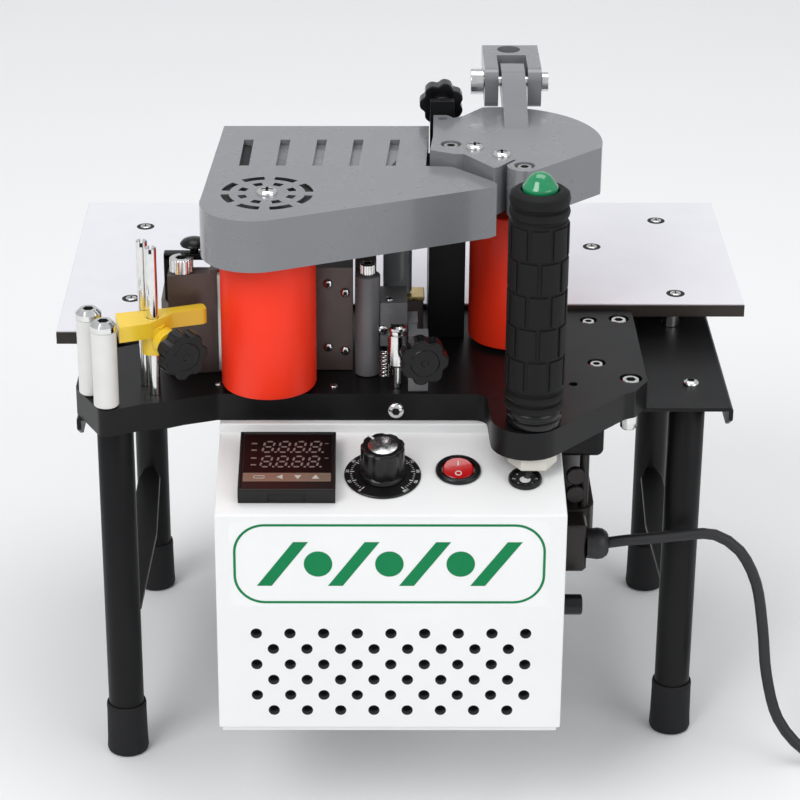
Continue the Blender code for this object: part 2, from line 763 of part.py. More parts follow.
def build_rollers():
    for name, axis in (("front_roller", FRONT_AXIS), ("rear_roller", REAR_AXIS)):
        bore = AXLE_RADIUS + 0.4
        sleeve = [
            (ROLLER_RADIUS - 0.8, ROLLER_HIGH),
            (ROLLER_RADIUS, ROLLER_HIGH - 0.8),
            (ROLLER_RADIUS, ROLLER_LOW + 0.8),
            (ROLLER_RADIUS - 0.8, ROLLER_LOW),
            (bore, ROLLER_LOW),
            (bore, ROLLER_HIGH),
        ]
        finish(turned(name, (*axis, 0), sleeve, sides=36, ring=True), "orange_silicone")
    axle = cylinder("front_axle", (*FRONT_AXIS, PLATE_TOP + GAP), AXLE_RADIUS, 102.6, sides=20)
    finish(axle, "chrome_steel")
    shaft = cylinder("rear_shaft", (*REAR_AXIS, 182.0), AXLE_RADIUS, 147.0, sides=20)
    finish(shaft, "chrome_steel")
    profile = [
        (0, 326.0),
        (GLUE_SPINDLE_RADIUS, 326.0),
        (GLUE_SPINDLE_RADIUS, 283.0),
        (GLUE_ROLLER_RADIUS, 283.0),
        (GLUE_ROLLER_RADIUS, 240.0),
        (GLUE_SPINDLE_RADIUS, 240.0),
        (GLUE_SPINDLE_RADIUS, 234.0),
        (0, 234.0),
    ]
    finish(turned("glue_roller", (*glue_axis(), 0), profile, sides=32), "aluminium")


def build_glue_pot():
    outline = [
        (-129.0, -27.0),
        (-129.0, -58.0),
        (-124.0, -64.0),
        (-124.0, -77.0),
        (-98.0, -72.5),
        (-60.0, -66.0),
        (-46.5, -70.0),
        (-28.0, -70.0),
        (-28.0, -27.0),
    ]
    pot = plate("glue_pot", outline, POT_LOW, POT_TOP)
    x, y = glue_axis()
    cut(
        pot,
        cylinder("roller_tool", (*FRONT_AXIS, POT_LOW - 5), 26.6, 80.0, sides=48),
        cylinder("well_tool", (x, y, WELL_FLOOR), 18.1, 60.0, sides=40),
        box("reservoir_tool", (-70.0, -58.5, WELL_FLOOR + 4), (-33.0, -32.0, POT_TOP + 5)),
        cylinder("bearing_tool", (x, y, 233.0), GLUE_SPINDLE_RADIUS + GAP, 12.0, sides=20),
        box("step_tool", (-135.0, -82.0, POT_TOP - 2.0), (-102.2, -57.0, POT_TOP + 5)),
        box("back_tool", (-135.0, -64.5, 262.0), (-102.2, -20.0, POT_TOP + 5)),
    )
    finish(pot, "brown_ptfe", smooth=False)


def gear_cover_outline():
    corner = arc((-78.0, -100.6), 27.0, 161.0, 292.4, 16)
    return [
        (-97.7, 14.5),
        (-104.2, -90.5),
        *corner[1:],
        (42.0, -80.3),
        (45.6, -77.0),
        (45.4, -73.5),
        (43.3, -70.0),
        (23.4, -49.0),
        (9.9, -48.3),
        (12.9, 14.5),
    ]


def disc_cover_outline():
    rim = arc((49.5, -26.5), 53.5, -12.0, 98.0, 28)
    lug = arc((60.1, -65.0), 9.0, 315.0, 175.0, 8)
    return [
        *rim,
        (31.1, 12.2),
        (26.1, 8.9),
        (22.5, 13.8),
        (15.2, 13.8),
        (14.2, -20.0),
        (12.1, -41.8),
        (24.4, -47.9),
        (29.6, -47.9),
        (44.2, -68.9),
        (46.5, -67.6),
        (55.0, -56.2),
        (56.2, -57.1),
        *reversed(lug),
        (66.5, -71.4),
    ]


def disc_inside_outline():
    return [
        *arc((49.5, -26.5), 51.0, -10.0, 96.0, 24),
        (31.5, 9.0),
        (26.3, 5.6),
        (17.6, 10.8),
        (16.8, -20.0),
        (14.9, -40.0),
        (25.0, -45.3),
        (31.0, -45.3),
        (37.0, -53.5),
        (72.5, -57.5),
    ]


def clearance(name, axis, radius):
    return cylinder(name, (*axis, GEAR_LOW - 1.2), radius, GEAR_HIGH - GEAR_LOW + 2.4, sides=48)


def shell_cover(name, outline, inside, low, top):
    cover = plate(name, outline, low, top)
    cut(cover, plate("inside_tool", inside, low - 5, top - COVER_ROOF))
    return cover


def build_gear_cover():
    outline = gear_cover_outline()
    cover = shell_cover("gear_cover", outline, inset(outline, COVER_WALL), COVER_LOW, COVER_TOP)
    idler = idler_axis()
    pin = cylinder("pin_tool", (*idler, GEAR_LOW - 4), IDLER_PIN_RADIUS, 20.0, sides=20)
    cut(cover, clearance("idler_tool", idler, 50.9), clearance("glue_tool", glue_axis(), 18.6))
    join(cover, pin)
    for i in range(5):
        x = -83.5 + 19.5 * i
        slant = 1.1 + 0.45 * i
        slot = [(x - slant, -47.6), (x - slant + 5.1, -47.6), (x + 5.1, -7.4), (x, -7.4)]
        slot = [(px - 2.55, py) for px, py in slot]
        cut(cover, plate("vent_tool", slot, COVER_TOP - 8, COVER_TOP + 3))
    finish(cover, "grey_casting", smooth=False)


def build_disc_cover():
    """The round cover over the rear roller's gear; its rib carries the hanger."""
    cover = shell_cover("disc_cover", disc_cover_outline(), disc_inside_outline(), DISC_LOW, DISC_TOP)
    lug_leg = cylinder("lug_tool", (60.1, -65.0, 294.0), 7.6, 40.0, sides=24)
    pivot_y, pivot_z = CLEVIS_AXIS
    rib = rounded(
        [
            (-12.0, DISC_TOP - 1.5),
            (24.0, DISC_TOP - 1.5),
            (pivot_y - 3.0, pivot_z - 8.0, 5.0),
            (pivot_y + 13.5, pivot_z - 6.0, 6.0),
            (pivot_y + 13.5, pivot_z + 7.5, 5.0),
            (pivot_y - 6.0, pivot_z + 7.5, 6.0),
        ]
    )
    arm = plate("arm_tool", rib, 52.5, 65.3, ALONG_X)
    join(cover, lug_leg, arm)
    cut(cover, clearance("idler_tool", idler_axis(), 50.9), clearance("rear_tool", REAR_AXIS, 28.9))
    for x, y, radius in ((60.1, -65.0, 5.4), (23.3, -32.5, 5.5), (20.1, 8.2, 2.6)):
        cut(cover, cylinder("sink_tool", (x, y, DISC_TOP - 2.4), radius, 6.0, sides=20))
    cut(cover, cylinder("pivot_tool", (40.0, pivot_y, pivot_z), 3.4, 40.0, (1, 0, 0), 16))
    finish(cover, "grey_casting", smooth=False)


def build_hanger():
    """The fork that the machine hangs from; it swings on a bolt through the cover's rib."""
    pivot_y, pivot_z = CLEVIS_AXIS
    side = rounded(
        [
            (33.0, 336.6, 4.0),
            (52.0, 336.6, 4.0),
            (66.0, 345.0, 5.0),
            (82.5, 347.0, 4.0),
            (82.5, 358.0, 4.0),
            (33.0, 358.0, 6.0),
        ]
    )
    fork = plate("hanger_clevis", side, 43.5, 74.3, ALONG_X)
    cut(
        fork,
        box("slot_tool", (50.9, 25.0, 330.0), (66.9, 61.0, 365.0)),
        cylinder("eye_tool", (58.0, 71.5, 340.0), 6.4, 25.0, sides=24),
        cylinder("bolt_tool", (40.0, pivot_y, pivot_z), 3.4, 40.0, (1, 0, 0), 16),
    )
    finish(set_origin(fork, 58.9, pivot_y, pivot_z), "grey_casting", smooth=False)
    bolt = [
        (0, 42.4),
        (5.2, 42.4),
        (5.2, 38.7),
        (3.0, 38.7),
        (3.0, 7.1),
        (7.0, 7.1),
        (7.0, 0.0),
        (0, 0.0),
    ]
    finish(turned("hanger_bolt", (36.0, pivot_y, pivot_z), bolt, (1, 0, 0), 20), "chrome_steel")


def star_knob(name, centre, direction, thickness=10.0, hub=6.0, radius=KNOB_RADIUS):
    """A lobed clamping knob: its centre is the middle of the star, its hub points backwards."""
    knob = plate(name, star_outline(radius), -thickness / 2, thickness / 2)
    stem = cylinder("stem_tool", (0, 0, -thickness / 2 - hub), 6.0, hub + 2, sides=20)
    turn = facing(direction)
    for piece in (knob, stem):
        piece.rotation_mode = "QUATERNION"
        piece.rotation_quaternion = turn
    knob.location = Vector(centre) * MM
    stem.location = (Vector(centre) + turn @ Vector((0, 0, -thickness / 2 - hub))) * MM
    finish(join(knob, stem), "black_plastic", smooth=False)


def build_rear_column():
    column = box("rear_column", (12.6, -27.4, PLATE_TOP + GAP), (32.1, 11.2, 305.0))
    shelf = box("shelf_tool", (13.5, 5.0, 290.0), (29.0, 21.0, 304.2))
    neck = box("neck_tool", (13.5, 15.3, 296.0), (26.5, 20.6, 346.5))
    finish(join(column, shelf, neck), "black_steel", smooth=False)
    star_knob("rear_knob", (20.0, 31.0, 341.0), (0, 1, 0), thickness=9.0, hub=5.5, radius=12.15)


def build_handle():
    x, y = HANDLE_AXIS
    core = turned(
        "handle_core",
        (x, y, 0),
        [
            (8.2, 250.0),
            (8.2, 235.2),
            (12.1, 235.2),
            (12.5, 234.6),
            (12.5, PLATE_TOP + GAP),
            (8.2, PLATE_TOP + GAP),
            (8.2, 207.0),
            (6.5, 207.0),
            (6.5, 250.0),
        ],
        sides=20,
        ring=True,
    )
    nut = cylinder("nut_tool", (x, y, 203.6), 12.7, PLATE_BOTTOM - GAP - 203.6, sides=6)
    nut_hole = cylinder("nut_hole_tool", (x, y, 200.0), 7.8, 9.0, sides=24)
    cut(join(core, nut), nut_hole, cylinder("duct_tool", (x, y, 206.0), 6.5, 50.0, sides=20))
    finish(core, "white_nylon", smooth=False)
    grip = turned(
        "handle_grip",
        (x, y, 0),
        [
            (8.4, HANDLE_TOP),
            (12.3, HANDLE_TOP),
            (12.9, HANDLE_TOP - 3.0),
            (15.2, HANDLE_TOP - 6.0),
            (15.2, 237.0),
            (14.2, 235.5),
            (8.5, 235.5),
            (8.5, 251.0),
            (3.4, 251.0),
            (3.4, 342.0),
            (8.4, 342.0),
        ],
        sides=24,
        ring=True,
    )
    finish(grip, "black_rubber")
    button = [(0, 361.5), (4.0, 360.6), (6.8, 357.6), (8.0, 353.5), (8.0, 345.5), (0, 345.5)]
    finish(turned("start_button", (x, y, 0), button, sides=24), "green_plastic")
    knots = [
        (63.8, -133.0, 216.0),
        (63.7, -133.5, 208.5),
        (62.9, -135.4, 203.6),
        (61.9, -137.7, 200.2),
        (61.2, -139.2, 197.0),
    ]
    finish(tube("handle_cable", smooth_route(knots, 3.0), 2.4, 2), "black_rubber")


def build_tape_guides():
    for name, axis in (("outer", GUIDE_OUTER_AXIS), ("inner", GUIDE_INNER_AXIS)):
        ring = [(6.5, 268.8), (6.5, 227.0), (3.0, 227.0), (3.0, 268.8)]
        roller = turned(f"guide_roller_{name}", (*axis, 0), ring, sides=28, ring=True)
        finish(roller, "white_nylon")
    for name, axis, top in (("back", PIN_BACK_AXIS, 307.2), ("front", PIN_FRONT_AXIS, 308.0)):
        low = PLATE_TOP + GAP
        finish(cylinder(f"guide_pin_{name}", (*axis, low), PIN_RADIUS, top - low, sides=16), "chrome_steel")


def build_tape_guide():
    """The yellow slide that sets the height of the banding; its knob clamps it on the front pin."""
    outline = [
        (-150.0, -94.2),
        (-146.6, -113.2),
        (-131.5, -107.5),
        (-120.4, -93.4),
        (-105.4, -88.6),
        (-103.6, -86.8),
        (-105.2, -82.0),
        (-107.0, -81.0),
        (-123.0, -86.8),
    ]
    slide = plate("tape_guide", outline, GUIDE_LOW, GUIDE_TOP)
    toward_knob = Vector((math.sin(math.radians(32)), -math.cos(math.radians(32)), 0))
    knob = Vector((-114.6, -118.0, 257.2))
    back = knob - toward_knob * 26.0
    boss = cylinder("boss_tool", back, 7.2, 14.0, toward_knob, sides=24)
    sleeve = cylinder("sleeve_tool", (*PIN_FRONT_AXIS, 250.4), 6.4, 15.0, sides=24)
    join(slide, boss, sleeve)
    for axis in (PIN_BACK_AXIS, PIN_FRONT_AXIS):
        cut(slide, cylinder("pin_tool", (*axis, 240.0), PIN_RADIUS + 0.35, 40.0, sides=20))
    finish(slide, "yellow_plastic", smooth=False)
    star_knob("guide_knob", knob, toward_knob, thickness=9.0, hub=6.5)


def build_edge_press():
    """The post, block, pin and knob between the rollers that press the band on the edge."""
    post = cylinder("clamp_post", (-20.3, -73.0, PLATE_TOP + GAP), 6.6, 55.9, sides=24)
    finish(post, "grey_casting")
    block = box("clamp_block", (-15.4, -75.0, 242.7), (0.4, -52.0, 267.1))
    join(
        block,
        box("web_tool", (-4.0, -74.0, 244.0), (6.0, -60.0, 256.0)),
        box("arm_tool", (1.0, -92.0, 244.6), (5.4, -70.0, 255.4)),
        box("foot_tool", (0.8, -97.0, PLATE_TOP + GAP), (11.0, -87.5, 258.0)),
    )
    cut(block, cylinder("post_tool", (-20.3, -73.0, 235.0), 6.95, 40.0, sides=24))
    finish(block, "black_steel", smooth=False)
    pin = [
        (0, 262.0),
        (4.6, 262.0),
        (5.2, 261.2),
        (5.2, 238.0),
        (1.9, 238.0),
        (1.9, PLATE_TOP + GAP),
        (0, PLATE_TOP + GAP),
    ]
    finish(turned("press_pin", (-5.0, -91.0, 0), pin, sides=24), "chrome_steel")
    star_knob("press_knob", (8.5, -107.5, 249.4), (0.12, -1, 0), thickness=9.0, hub=5.0)


build_table()
build_channels()
build_legs()
build_braces()
build_base_plate()
build_control_box()
build_panel_parts()
build_motor()
build_cord()
build_plug()
build_gears()
build_rollers()
build_glue_pot()
build_gear_cover()
build_disc_cover()
build_hanger()
build_rear_column()
build_handle()
build_tape_guides()
build_tape_guide()
build_edge_press()
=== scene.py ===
import math

import bmesh
import bpy
from mathutils import Matrix, Vector


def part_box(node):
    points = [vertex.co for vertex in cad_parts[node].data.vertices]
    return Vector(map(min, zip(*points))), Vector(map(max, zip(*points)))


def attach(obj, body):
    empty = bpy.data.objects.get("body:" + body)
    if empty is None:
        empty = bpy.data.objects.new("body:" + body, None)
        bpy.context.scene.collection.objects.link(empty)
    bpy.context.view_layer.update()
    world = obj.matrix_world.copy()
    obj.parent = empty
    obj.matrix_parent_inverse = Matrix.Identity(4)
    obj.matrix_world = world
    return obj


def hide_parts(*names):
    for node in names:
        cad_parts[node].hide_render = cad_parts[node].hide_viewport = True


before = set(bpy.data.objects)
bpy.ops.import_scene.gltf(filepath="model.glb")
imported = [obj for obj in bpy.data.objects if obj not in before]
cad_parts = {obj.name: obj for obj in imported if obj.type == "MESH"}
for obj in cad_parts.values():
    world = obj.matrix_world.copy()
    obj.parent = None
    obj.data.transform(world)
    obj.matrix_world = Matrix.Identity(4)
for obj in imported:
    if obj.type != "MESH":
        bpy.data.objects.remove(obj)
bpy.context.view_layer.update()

# ---------------------------------------------------------------------------------------------
# Camera. It stands in front of the machine, a little above it, and looks down on the controls
# through a long lens, so that upright edges stay almost upright.

MM = 0.001
WELD = 0.002 * MM
PITCH = math.radians(24.9956)
YAW = math.radians(0.0989)

camera_data = bpy.data.cameras.new("camera")
camera_data.lens = 122.42
camera_data.sensor_width = 36.0
camera_data.shift_x = 0.0519
camera = bpy.data.objects.new("camera", camera_data)
camera.location = (-0.0228, -1.3797, 0.8197)
camera.rotation_euler = (math.pi / 2 - PITCH, 0.0, YAW)
bpy.context.scene.collection.objects.link(camera)
bpy.context.scene.camera = camera

# ---------------------------------------------------------------------------------------------
# Mains cord. A round black rubber-covered flex leaves the motor's gland, passes in front of the
# right legs, drops to the floor and runs to a stored coil and a moulded plug beside the machine.

CORD_DIAMETER = 6.2
COIL_CENTRE = (288.0, -62.0)
COIL_RADII = (42.2, 36.0, 29.8)
COIL_STEPS = 16


def smooth_route(knots, spacing):
    """Points along a Catmull-Rom curve through the knots, about one every spacing millimetres."""
    knots = [Vector(k) for k in knots]
    padded = [knots[0] * 2 - knots[1], *knots, knots[-1] * 2 - knots[-2]]
    route = [knots[0]]
    for a, b, c, d in zip(padded, padded[1:], padded[2:], padded[3:]):
        steps = max(1, round((c - b).length / spacing))
        for step in range(1, steps + 1):
            t = step / steps
            straight = 2 * b + (c - a) * t
            bend = (2 * a - 5 * b + 4 * c - d) * t**2 + (3 * b - a - 3 * c + d) * t**3
            route.append((straight + bend) / 2)
    return route


def cord_curve(name, route, diameter):
    """A round flex as a bevelled curve along a route in millimetres."""
    curve = bpy.data.curves.new(name, "CURVE")
    curve.dimensions = "3D"
    curve.bevel_depth = diameter / 2 * MM
    curve.bevel_resolution = 5
    curve.use_fill_caps = True
    spline = curve.splines.new("POLY")
    spline.points.add(len(route) - 1)
    for point, place in zip(spline.points, route):
        point.co = (*(Vector(place) * MM), 1.0)
    made = bpy.data.objects.new(name, curve)
    bpy.context.scene.collection.objects.link(made)
    return made


def coil_turns():
    """The flex wound inwards on the floor for three turns, then outwards on top of them."""
    turns = []
    radii = [*COIL_RADII, *reversed(COIL_RADII)]
    low, high = CORD_DIAMETER / 2 + 0.35, CORD_DIAMETER * 1.5 + 0.35
    count = len(radii) * COIL_STEPS + COIL_STEPS // 4
    for step in range(1, count + 1):
        turn = step / COIL_STEPS
        angle = -math.pi / 2 + 2 * math.pi * turn
        index = min(int(turn), len(radii) - 1)
        after = radii[min(index + 1, len(radii) - 1)]
        share = max(0.0, min(1.0, (turn - index - 0.55) / 0.4))
        share = share * share * (3 - 2 * share)
        radius = radii[index] + (after - radii[index]) * share
        lift = max(0.0, min(1.0, (turn - 2.45) / 0.5))
        lift = lift * lift * (3 - 2 * lift)
        turns.append(
            (
                COIL_CENTRE[0] + radius * math.cos(angle),
                COIL_CENTRE[1] + radius * math.sin(angle),
                low + (high - low) * lift,
            )
        )
    return turns


cord_knots = [
    (107.3, -78.0, 127.4),
    (119.4, -79.4, 130.0),
    (137.7, -80.0, 132.0),
    (153.8, -80.0, 133.9),
    (167.2, -80.0, 133.7),
    (181.0, -81.0, 124.5),
    (191.0, -82.0, 105.0),
    (196.0, -83.5, 78.0),
    (199.5, -86.0, 50.0),
    (207.0, -90.0, 24.0),
    (222.0, -96.0, 7.5),
    (241.0, -101.6, 3.6),
    (264.2, -104.2, 3.4),
]
lead_x = COIL_CENTRE[0] + COIL_RADII[0]
lead_knots = [(lead_x, -50.0, 10.0), (lead_x, -36.4, 11.4)]
cord_route = smooth_route(cord_knots, 7.0) + [Vector(p) for p in coil_turns()]
cord_route += [Vector(p) for p in lead_knots]
cord_length = sum((b - a).length for a, b in zip(cord_route, cord_route[1:])) * MM
power_flex = cord_curve("power_flex", cord_route, CORD_DIAMETER)


class Value:
    """A socket that takes Python's operators, so that shader maths reads as an expression."""

    def __init__(self, finish, socket):
        self.finish = finish
        self.socket = socket

    def maths(self, operation, first, second):
        return self.finish.node("ShaderNodeMath", {"operation": operation}, {0: first, 1: second})

    def __add__(self, other):
        return self.maths("ADD", self, other)

    def __radd__(self, other):
        return self.maths("ADD", other, self)

    def __sub__(self, other):
        return self.maths("SUBTRACT", self, other)

    def __rsub__(self, other):
        return self.maths("SUBTRACT", other, self)

    def __mul__(self, other):
        return self.maths("MULTIPLY", self, other)

    def __rmul__(self, other):
        return self.maths("MULTIPLY", other, self)

class Finish:
    """A material: a Principled shader whose constants are set at once, and nodes added to it."""

    def __init__(self, name, roughness=0.5, metallic=0.0, **constants):
        self.material = bpy.data.materials.new(name)
        self.material.use_nodes = True
        self.tree = self.material.node_tree
        self.shader = self.tree.nodes["Principled BSDF"]
        self.shader.inputs["Roughness"].default_value = roughness
        self.shader.inputs["Metallic"].default_value = metallic
        for socket, value in constants.items():
            label = socket.replace("_", " ").title().replace("Ior", "IOR")
            self.shader.inputs[label].default_value = value
        self.place = self.tree.nodes.new("ShaderNodeTexCoord").outputs["Object"]

    def node(self, kind, settings=None, values=None, output=0):
        """Adds one node: its settings first, then the values or links of its sockets."""
        made = self.tree.nodes.new(kind)
        for setting, value in (settings or {}).items():
            setattr(made, setting, value)
        for socket, value in (values or {}).items():
            self.feed(made.inputs[socket], value)
        return Value(self, made.outputs[output])

    def feed(self, socket, value):
        if isinstance(value, Value):
            self.tree.links.new(value.socket, socket)
        elif isinstance(value, bpy.types.NodeSocket):
            self.tree.links.new(value, socket)
        else:
            socket.default_value = value

    def set(self, socket, value):
        self.feed(self.shader.inputs[socket], value)

    def noise(self, scale, detail=3.0, stretch=(1.0, 1.0, 1.0)):
        """Noise on the piece's own coordinates, in features per metre."""
        spot = self.node("ShaderNodeMapping", None, {"Vector": self.place, "Scale": stretch})
        return self.node("ShaderNodeTexNoise", None, {"Vector": spot, "Scale": scale, "Detail": detail})

    def tones(self, share, first, second):
        """Sets a base colour that drifts between two colours, given as red, green and blue."""
        values = {0: share, 6: (*first, 1.0), 7: (*second, 1.0)}
        self.set("Base Color", self.node("ShaderNodeMix", {"data_type": "RGBA"}, values, 2))

    def bump(self, height, strength, distance):
        values = {"Height": height, "Strength": strength, "Distance": distance}
        self.set("Normal", self.node("ShaderNodeBump", None, values))


def moulded(name, tone, roughness, grain=1400.0, strength=0.12, **constants):
    """A moulded surface: slight clouds in its tone and shine, and a fine grain."""
    finish = Finish(name, roughness, **constants)
    clouds = finish.noise(38.0, 4.0)
    fine = finish.noise(grain, 2.0)
    finish.tones(clouds, [channel * 0.86 for channel in tone], [channel * 1.16 for channel in tone])
    finish.set("Roughness", clouds * 0.14 + fine * 0.06 + (roughness - 0.10))
    finish.bump(fine, strength, 0.00004)
    return finish


cord_rubber = moulded("cord_rubber", (0.011, 0.011, 0.012), 0.5, 2600.0, 0.2)
power_flex.data.materials.append(cord_rubber.material)
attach(power_flex, "frame")
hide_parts("power_cord", "cord_coil")

# ---------------------------------------------------------------------------------------------
# Plug and gland. The plug is moulded on the flex with three pins; the gland is a ribbed boss on
# the motor's terminal chamber that tapers round the flex.


def new_piece(name, shape, finish, edge=0.0, segments=2, angle=40.0):
    """Turns a bmesh into a piece, with its edges rounded and its flat faces shaded flat."""
    mesh = bpy.data.meshes.new(name)
    shape.to_mesh(mesh)
    shape.free()
    mesh.materials.append(finish.material)
    mesh.shade_smooth()
    if not edge:
        mesh.set_sharp_from_angle(angle=math.radians(angle))
    made = bpy.data.objects.new(name, mesh)
    bpy.context.scene.collection.objects.link(made)
    if edge:
        round_edges(made, edge, segments, angle)
    return made


def round_edges(made, width, segments=2, angle=40.0):
    """Rounds the edges sharper than an angle, and keeps the flat faces beside them flat."""
    bevel = made.modifiers.new("edges", "BEVEL")
    bevel.width = width * MM
    bevel.segments = segments
    bevel.limit_method = "ANGLE"
    bevel.angle_limit = math.radians(angle)
    bevel.miter_outer = "MITER_ARC"
    made.modifiers.new("shading", "WEIGHTED_NORMAL").keep_sharp = True


def facing(direction):
    """The turn that points a shape's own axis along a direction."""
    return Vector(direction).normalized().to_track_quat("Z", "Y").to_matrix().to_4x4()


def moved(shape, place=(0.0, 0.0, 0.0), direction=(0, 0, 1)):
    """Puts a shape made about the origin at a place, in millimetres, facing a direction."""
    matrix = Matrix.Translation(Vector(place) * MM) @ facing(direction)
    bmesh.ops.transform(shape, matrix=matrix, verts=shape.verts)
    return shape


def turned(profile, place=(0, 0, 0), direction=(0, 0, 1), steps=64, closed=False):
    """A turned shape from (radius, height) points in millimetres, spun about its own axis."""
    shape = bmesh.new()
    points = [shape.verts.new((radius * MM, 0.0, height * MM)) for radius, height in profile]
    line = [shape.edges.new(pair) for pair in zip(points, points[1:])]
    if closed:
        line.append(shape.edges.new((points[-1], points[0])))
    bmesh.ops.spin(
        shape, geom=points + line, axis=(0, 0, 1), cent=(0, 0, 0), angle=math.tau, steps=steps,
        use_merge=True, use_duplicate=False,
    )
    bmesh.ops.remove_doubles(shape, verts=shape.verts, dist=WELD)
    bmesh.ops.recalc_face_normals(shape, faces=shape.faces)
    return moved(shape, place, direction)


def together(*shapes):
    """Several shapes as one."""
    whole = bmesh.new()
    for shape in shapes:
        mesh = bpy.data.meshes.new("part")
        shape.to_mesh(mesh)
        shape.free()
        whole.from_mesh(mesh)
        bpy.data.meshes.remove(mesh)
    return whole


def softened(node, finish, edge, segments=2, angle=35.0):
    """A merged copy of a CAD node's mesh with its edges rounded."""
    shape = bmesh.new()
    shape.from_mesh(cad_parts[node].data)
    bmesh.ops.remove_doubles(shape, verts=shape.verts, dist=WELD)
    bmesh.ops.dissolve_limit(shape, angle_limit=math.radians(0.6), verts=shape.verts, edges=shape.edges)
    bmesh.ops.recalc_face_normals(shape, faces=shape.faces)
    return new_piece(node + "_body", shape, finish, edge, segments, angle)


def fit(made, body, nodes):
    """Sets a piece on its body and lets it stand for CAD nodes."""
    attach(made, body)
    if nodes:
        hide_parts(*nodes)
    return made


def add(name, shape, finish, edge=0.0, segments=2, angle=40.0, body="frame", nodes=()):
    """Makes a piece and fits it, on the frame and in no CAD node's place unless told."""
    return fit(new_piece(name, shape, finish, edge, segments, angle), body, nodes)


def add_softened(node, finish, edge, segments=2, angle=35.0, body="frame"):
    """Fits a softened copy of a CAD node in that node's place."""
    return fit(softened(node, finish, edge, segments, angle), body, [node])


plug_finish = moulded("plug_rubber", (0.012, 0.012, 0.013), 0.45, 1800.0, 0.2)
pin_metal = Finish("plug_pin_metal", 0.22, 1.0)
pin_metal.tones(pin_metal.noise(200.0), (0.62, 0.52, 0.32), (0.8, 0.7, 0.5))

plug_body = add_softened("power_plug", plug_finish, 0.5)
ribs = []
for number, middle in enumerate((1.0, -5.0, -11.0, -17.0, -23.0)):
    radius = 6.6 - 0.3 * number
    rib = [(radius, middle + 1.2), (radius, middle - 1.2), (3.6, middle - 1.2), (3.6, middle + 1.2)]
    ribs.append(turned(rib, (lead_x, 0, 11.6), (0, 1, 0), 32, True))
relief = add("plug_relief_ribs", together(*ribs), plug_finish, 0.3)

gland_profile = [
    (0, 8.4), (3.4, 8.4), (3.6, 11.6), (5.0, 12.0), (6.6, 11.2), (8.2, 8.8), (8.6, 6.0), (8.2, 2.4),
    (8.0, 0.3), (0, 0.3),
]
gland_boss = turned(gland_profile, (98.0, -78.0, 127.4), (1, 0, 0), 48)
gland = add("gland_boss", gland_boss, plug_finish, nodes=["cord_gland"])

# ---------------------------------------------------------------------------------------------
# Table. Two white melamine boards with dark cores stand on the side rails; cross-headed screws
# hold them down.


def block(low, high):
    """A box between two corners in millimetres."""
    shape = bmesh.new()
    bmesh.ops.create_cube(shape, size=1.0)
    low, high = Vector(low) * MM, Vector(high) * MM
    bmesh.ops.scale(shape, vec=high - low, verts=shape.verts)
    bmesh.ops.translate(shape, vec=(low + high) / 2, verts=shape.verts)
    return shape


def slab(outline, low, high):
    """A flat outline made thick between two heights, in millimetres."""
    shape = bmesh.new()
    corners = [shape.verts.new((x * MM, y * MM, low * MM)) for x, y in outline]
    bottom = shape.faces.new(corners)
    grown = bmesh.ops.extrude_face_region(shape, geom=[bottom])["geom"]
    top = [v for v in grown if isinstance(v, bmesh.types.BMVert)]
    bmesh.ops.translate(shape, vec=(0, 0, (high - low) * MM), verts=top)
    bmesh.ops.recalc_face_normals(shape, faces=shape.faces)
    return shape


def carve(made, tool, finish):
    """Cuts a shape out of a piece at once; the cut faces take the finish."""
    tool_mesh = bpy.data.meshes.new("tool")
    tool.to_mesh(tool_mesh)
    tool.free()
    tool_mesh.materials.append(finish.material)
    tool_object = bpy.data.objects.new("tool", tool_mesh)
    bpy.context.scene.collection.objects.link(tool_object)
    modifier = made.modifiers.new("carve", "BOOLEAN")
    modifier.solver = "EXACT"
    modifier.object = tool_object
    modifier.material_mode = "TRANSFER"
    bpy.context.view_layer.update()
    graph = bpy.context.evaluated_depsgraph_get()
    result = bpy.data.meshes.new_from_object(made.evaluated_get(graph))
    made.modifiers.clear()
    made.data = result
    bpy.data.objects.remove(tool_object)
    result.shade_smooth()


TABLE_TOP = 229.6
SHEET_THICKNESS = 1.0
SHEET_INSET = 0.35
core_finish = moulded("board_core", (0.02, 0.014, 0.010), 0.55, 900.0, 0.3)
laminate = Finish("white_laminate", 0.34)
speckle = laminate.noise(60.0, 5.0)
laminate.tones(speckle, (0.70, 0.69, 0.73), (0.75, 0.74, 0.78))
laminate.set("Roughness", laminate.noise(14.0) * 0.16 + 0.26)
laminate.bump(laminate.noise(2400.0, 2.0), 0.08, 0.00003)

for side in ("left", "right"):
    low, high = (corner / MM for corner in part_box(f"table_board_{side}"))
    seam = high.z - SHEET_THICKNESS
    core = block(low, (high.x, high.y, seam))
    add(f"board_core_{side}", core, core_finish, 0.3, nodes=[f"table_board_{side}"])
    sheet = block(
        (low.x + SHEET_INSET, low.y + SHEET_INSET, seam),
        (high.x - SHEET_INSET, high.y - SHEET_INSET, high.z),
    )
    add(f"board_sheet_{side}", sheet, laminate, 0.25)

chrome = Finish("bright_chrome", 0.14, 1.0)
chrome.tones(chrome.noise(300.0), (0.66, 0.66, 0.65), (0.84, 0.84, 0.83))
chrome.set("Roughness", chrome.noise(700.0, 2.0) * 0.14 + 0.08)
# Near-black for the insides of screw sockets and cross recesses, slots, wells and countersinks: painted
# shade, standing for the dark that falls in these hollows.
recess_painted_shade = Finish("recess_painted_shade", 0.8)
recess_painted_shade.tones(recess_painted_shade.noise(400.0), (0.004, 0.004, 0.004), (0.015, 0.015, 0.015))


def hexagon(across, low, high, place=(0, 0, 0)):
    """A six-sided tool for a screw's socket."""
    return turned([(0, high), (across, high), (across, low), (0, low)], place, steps=6)


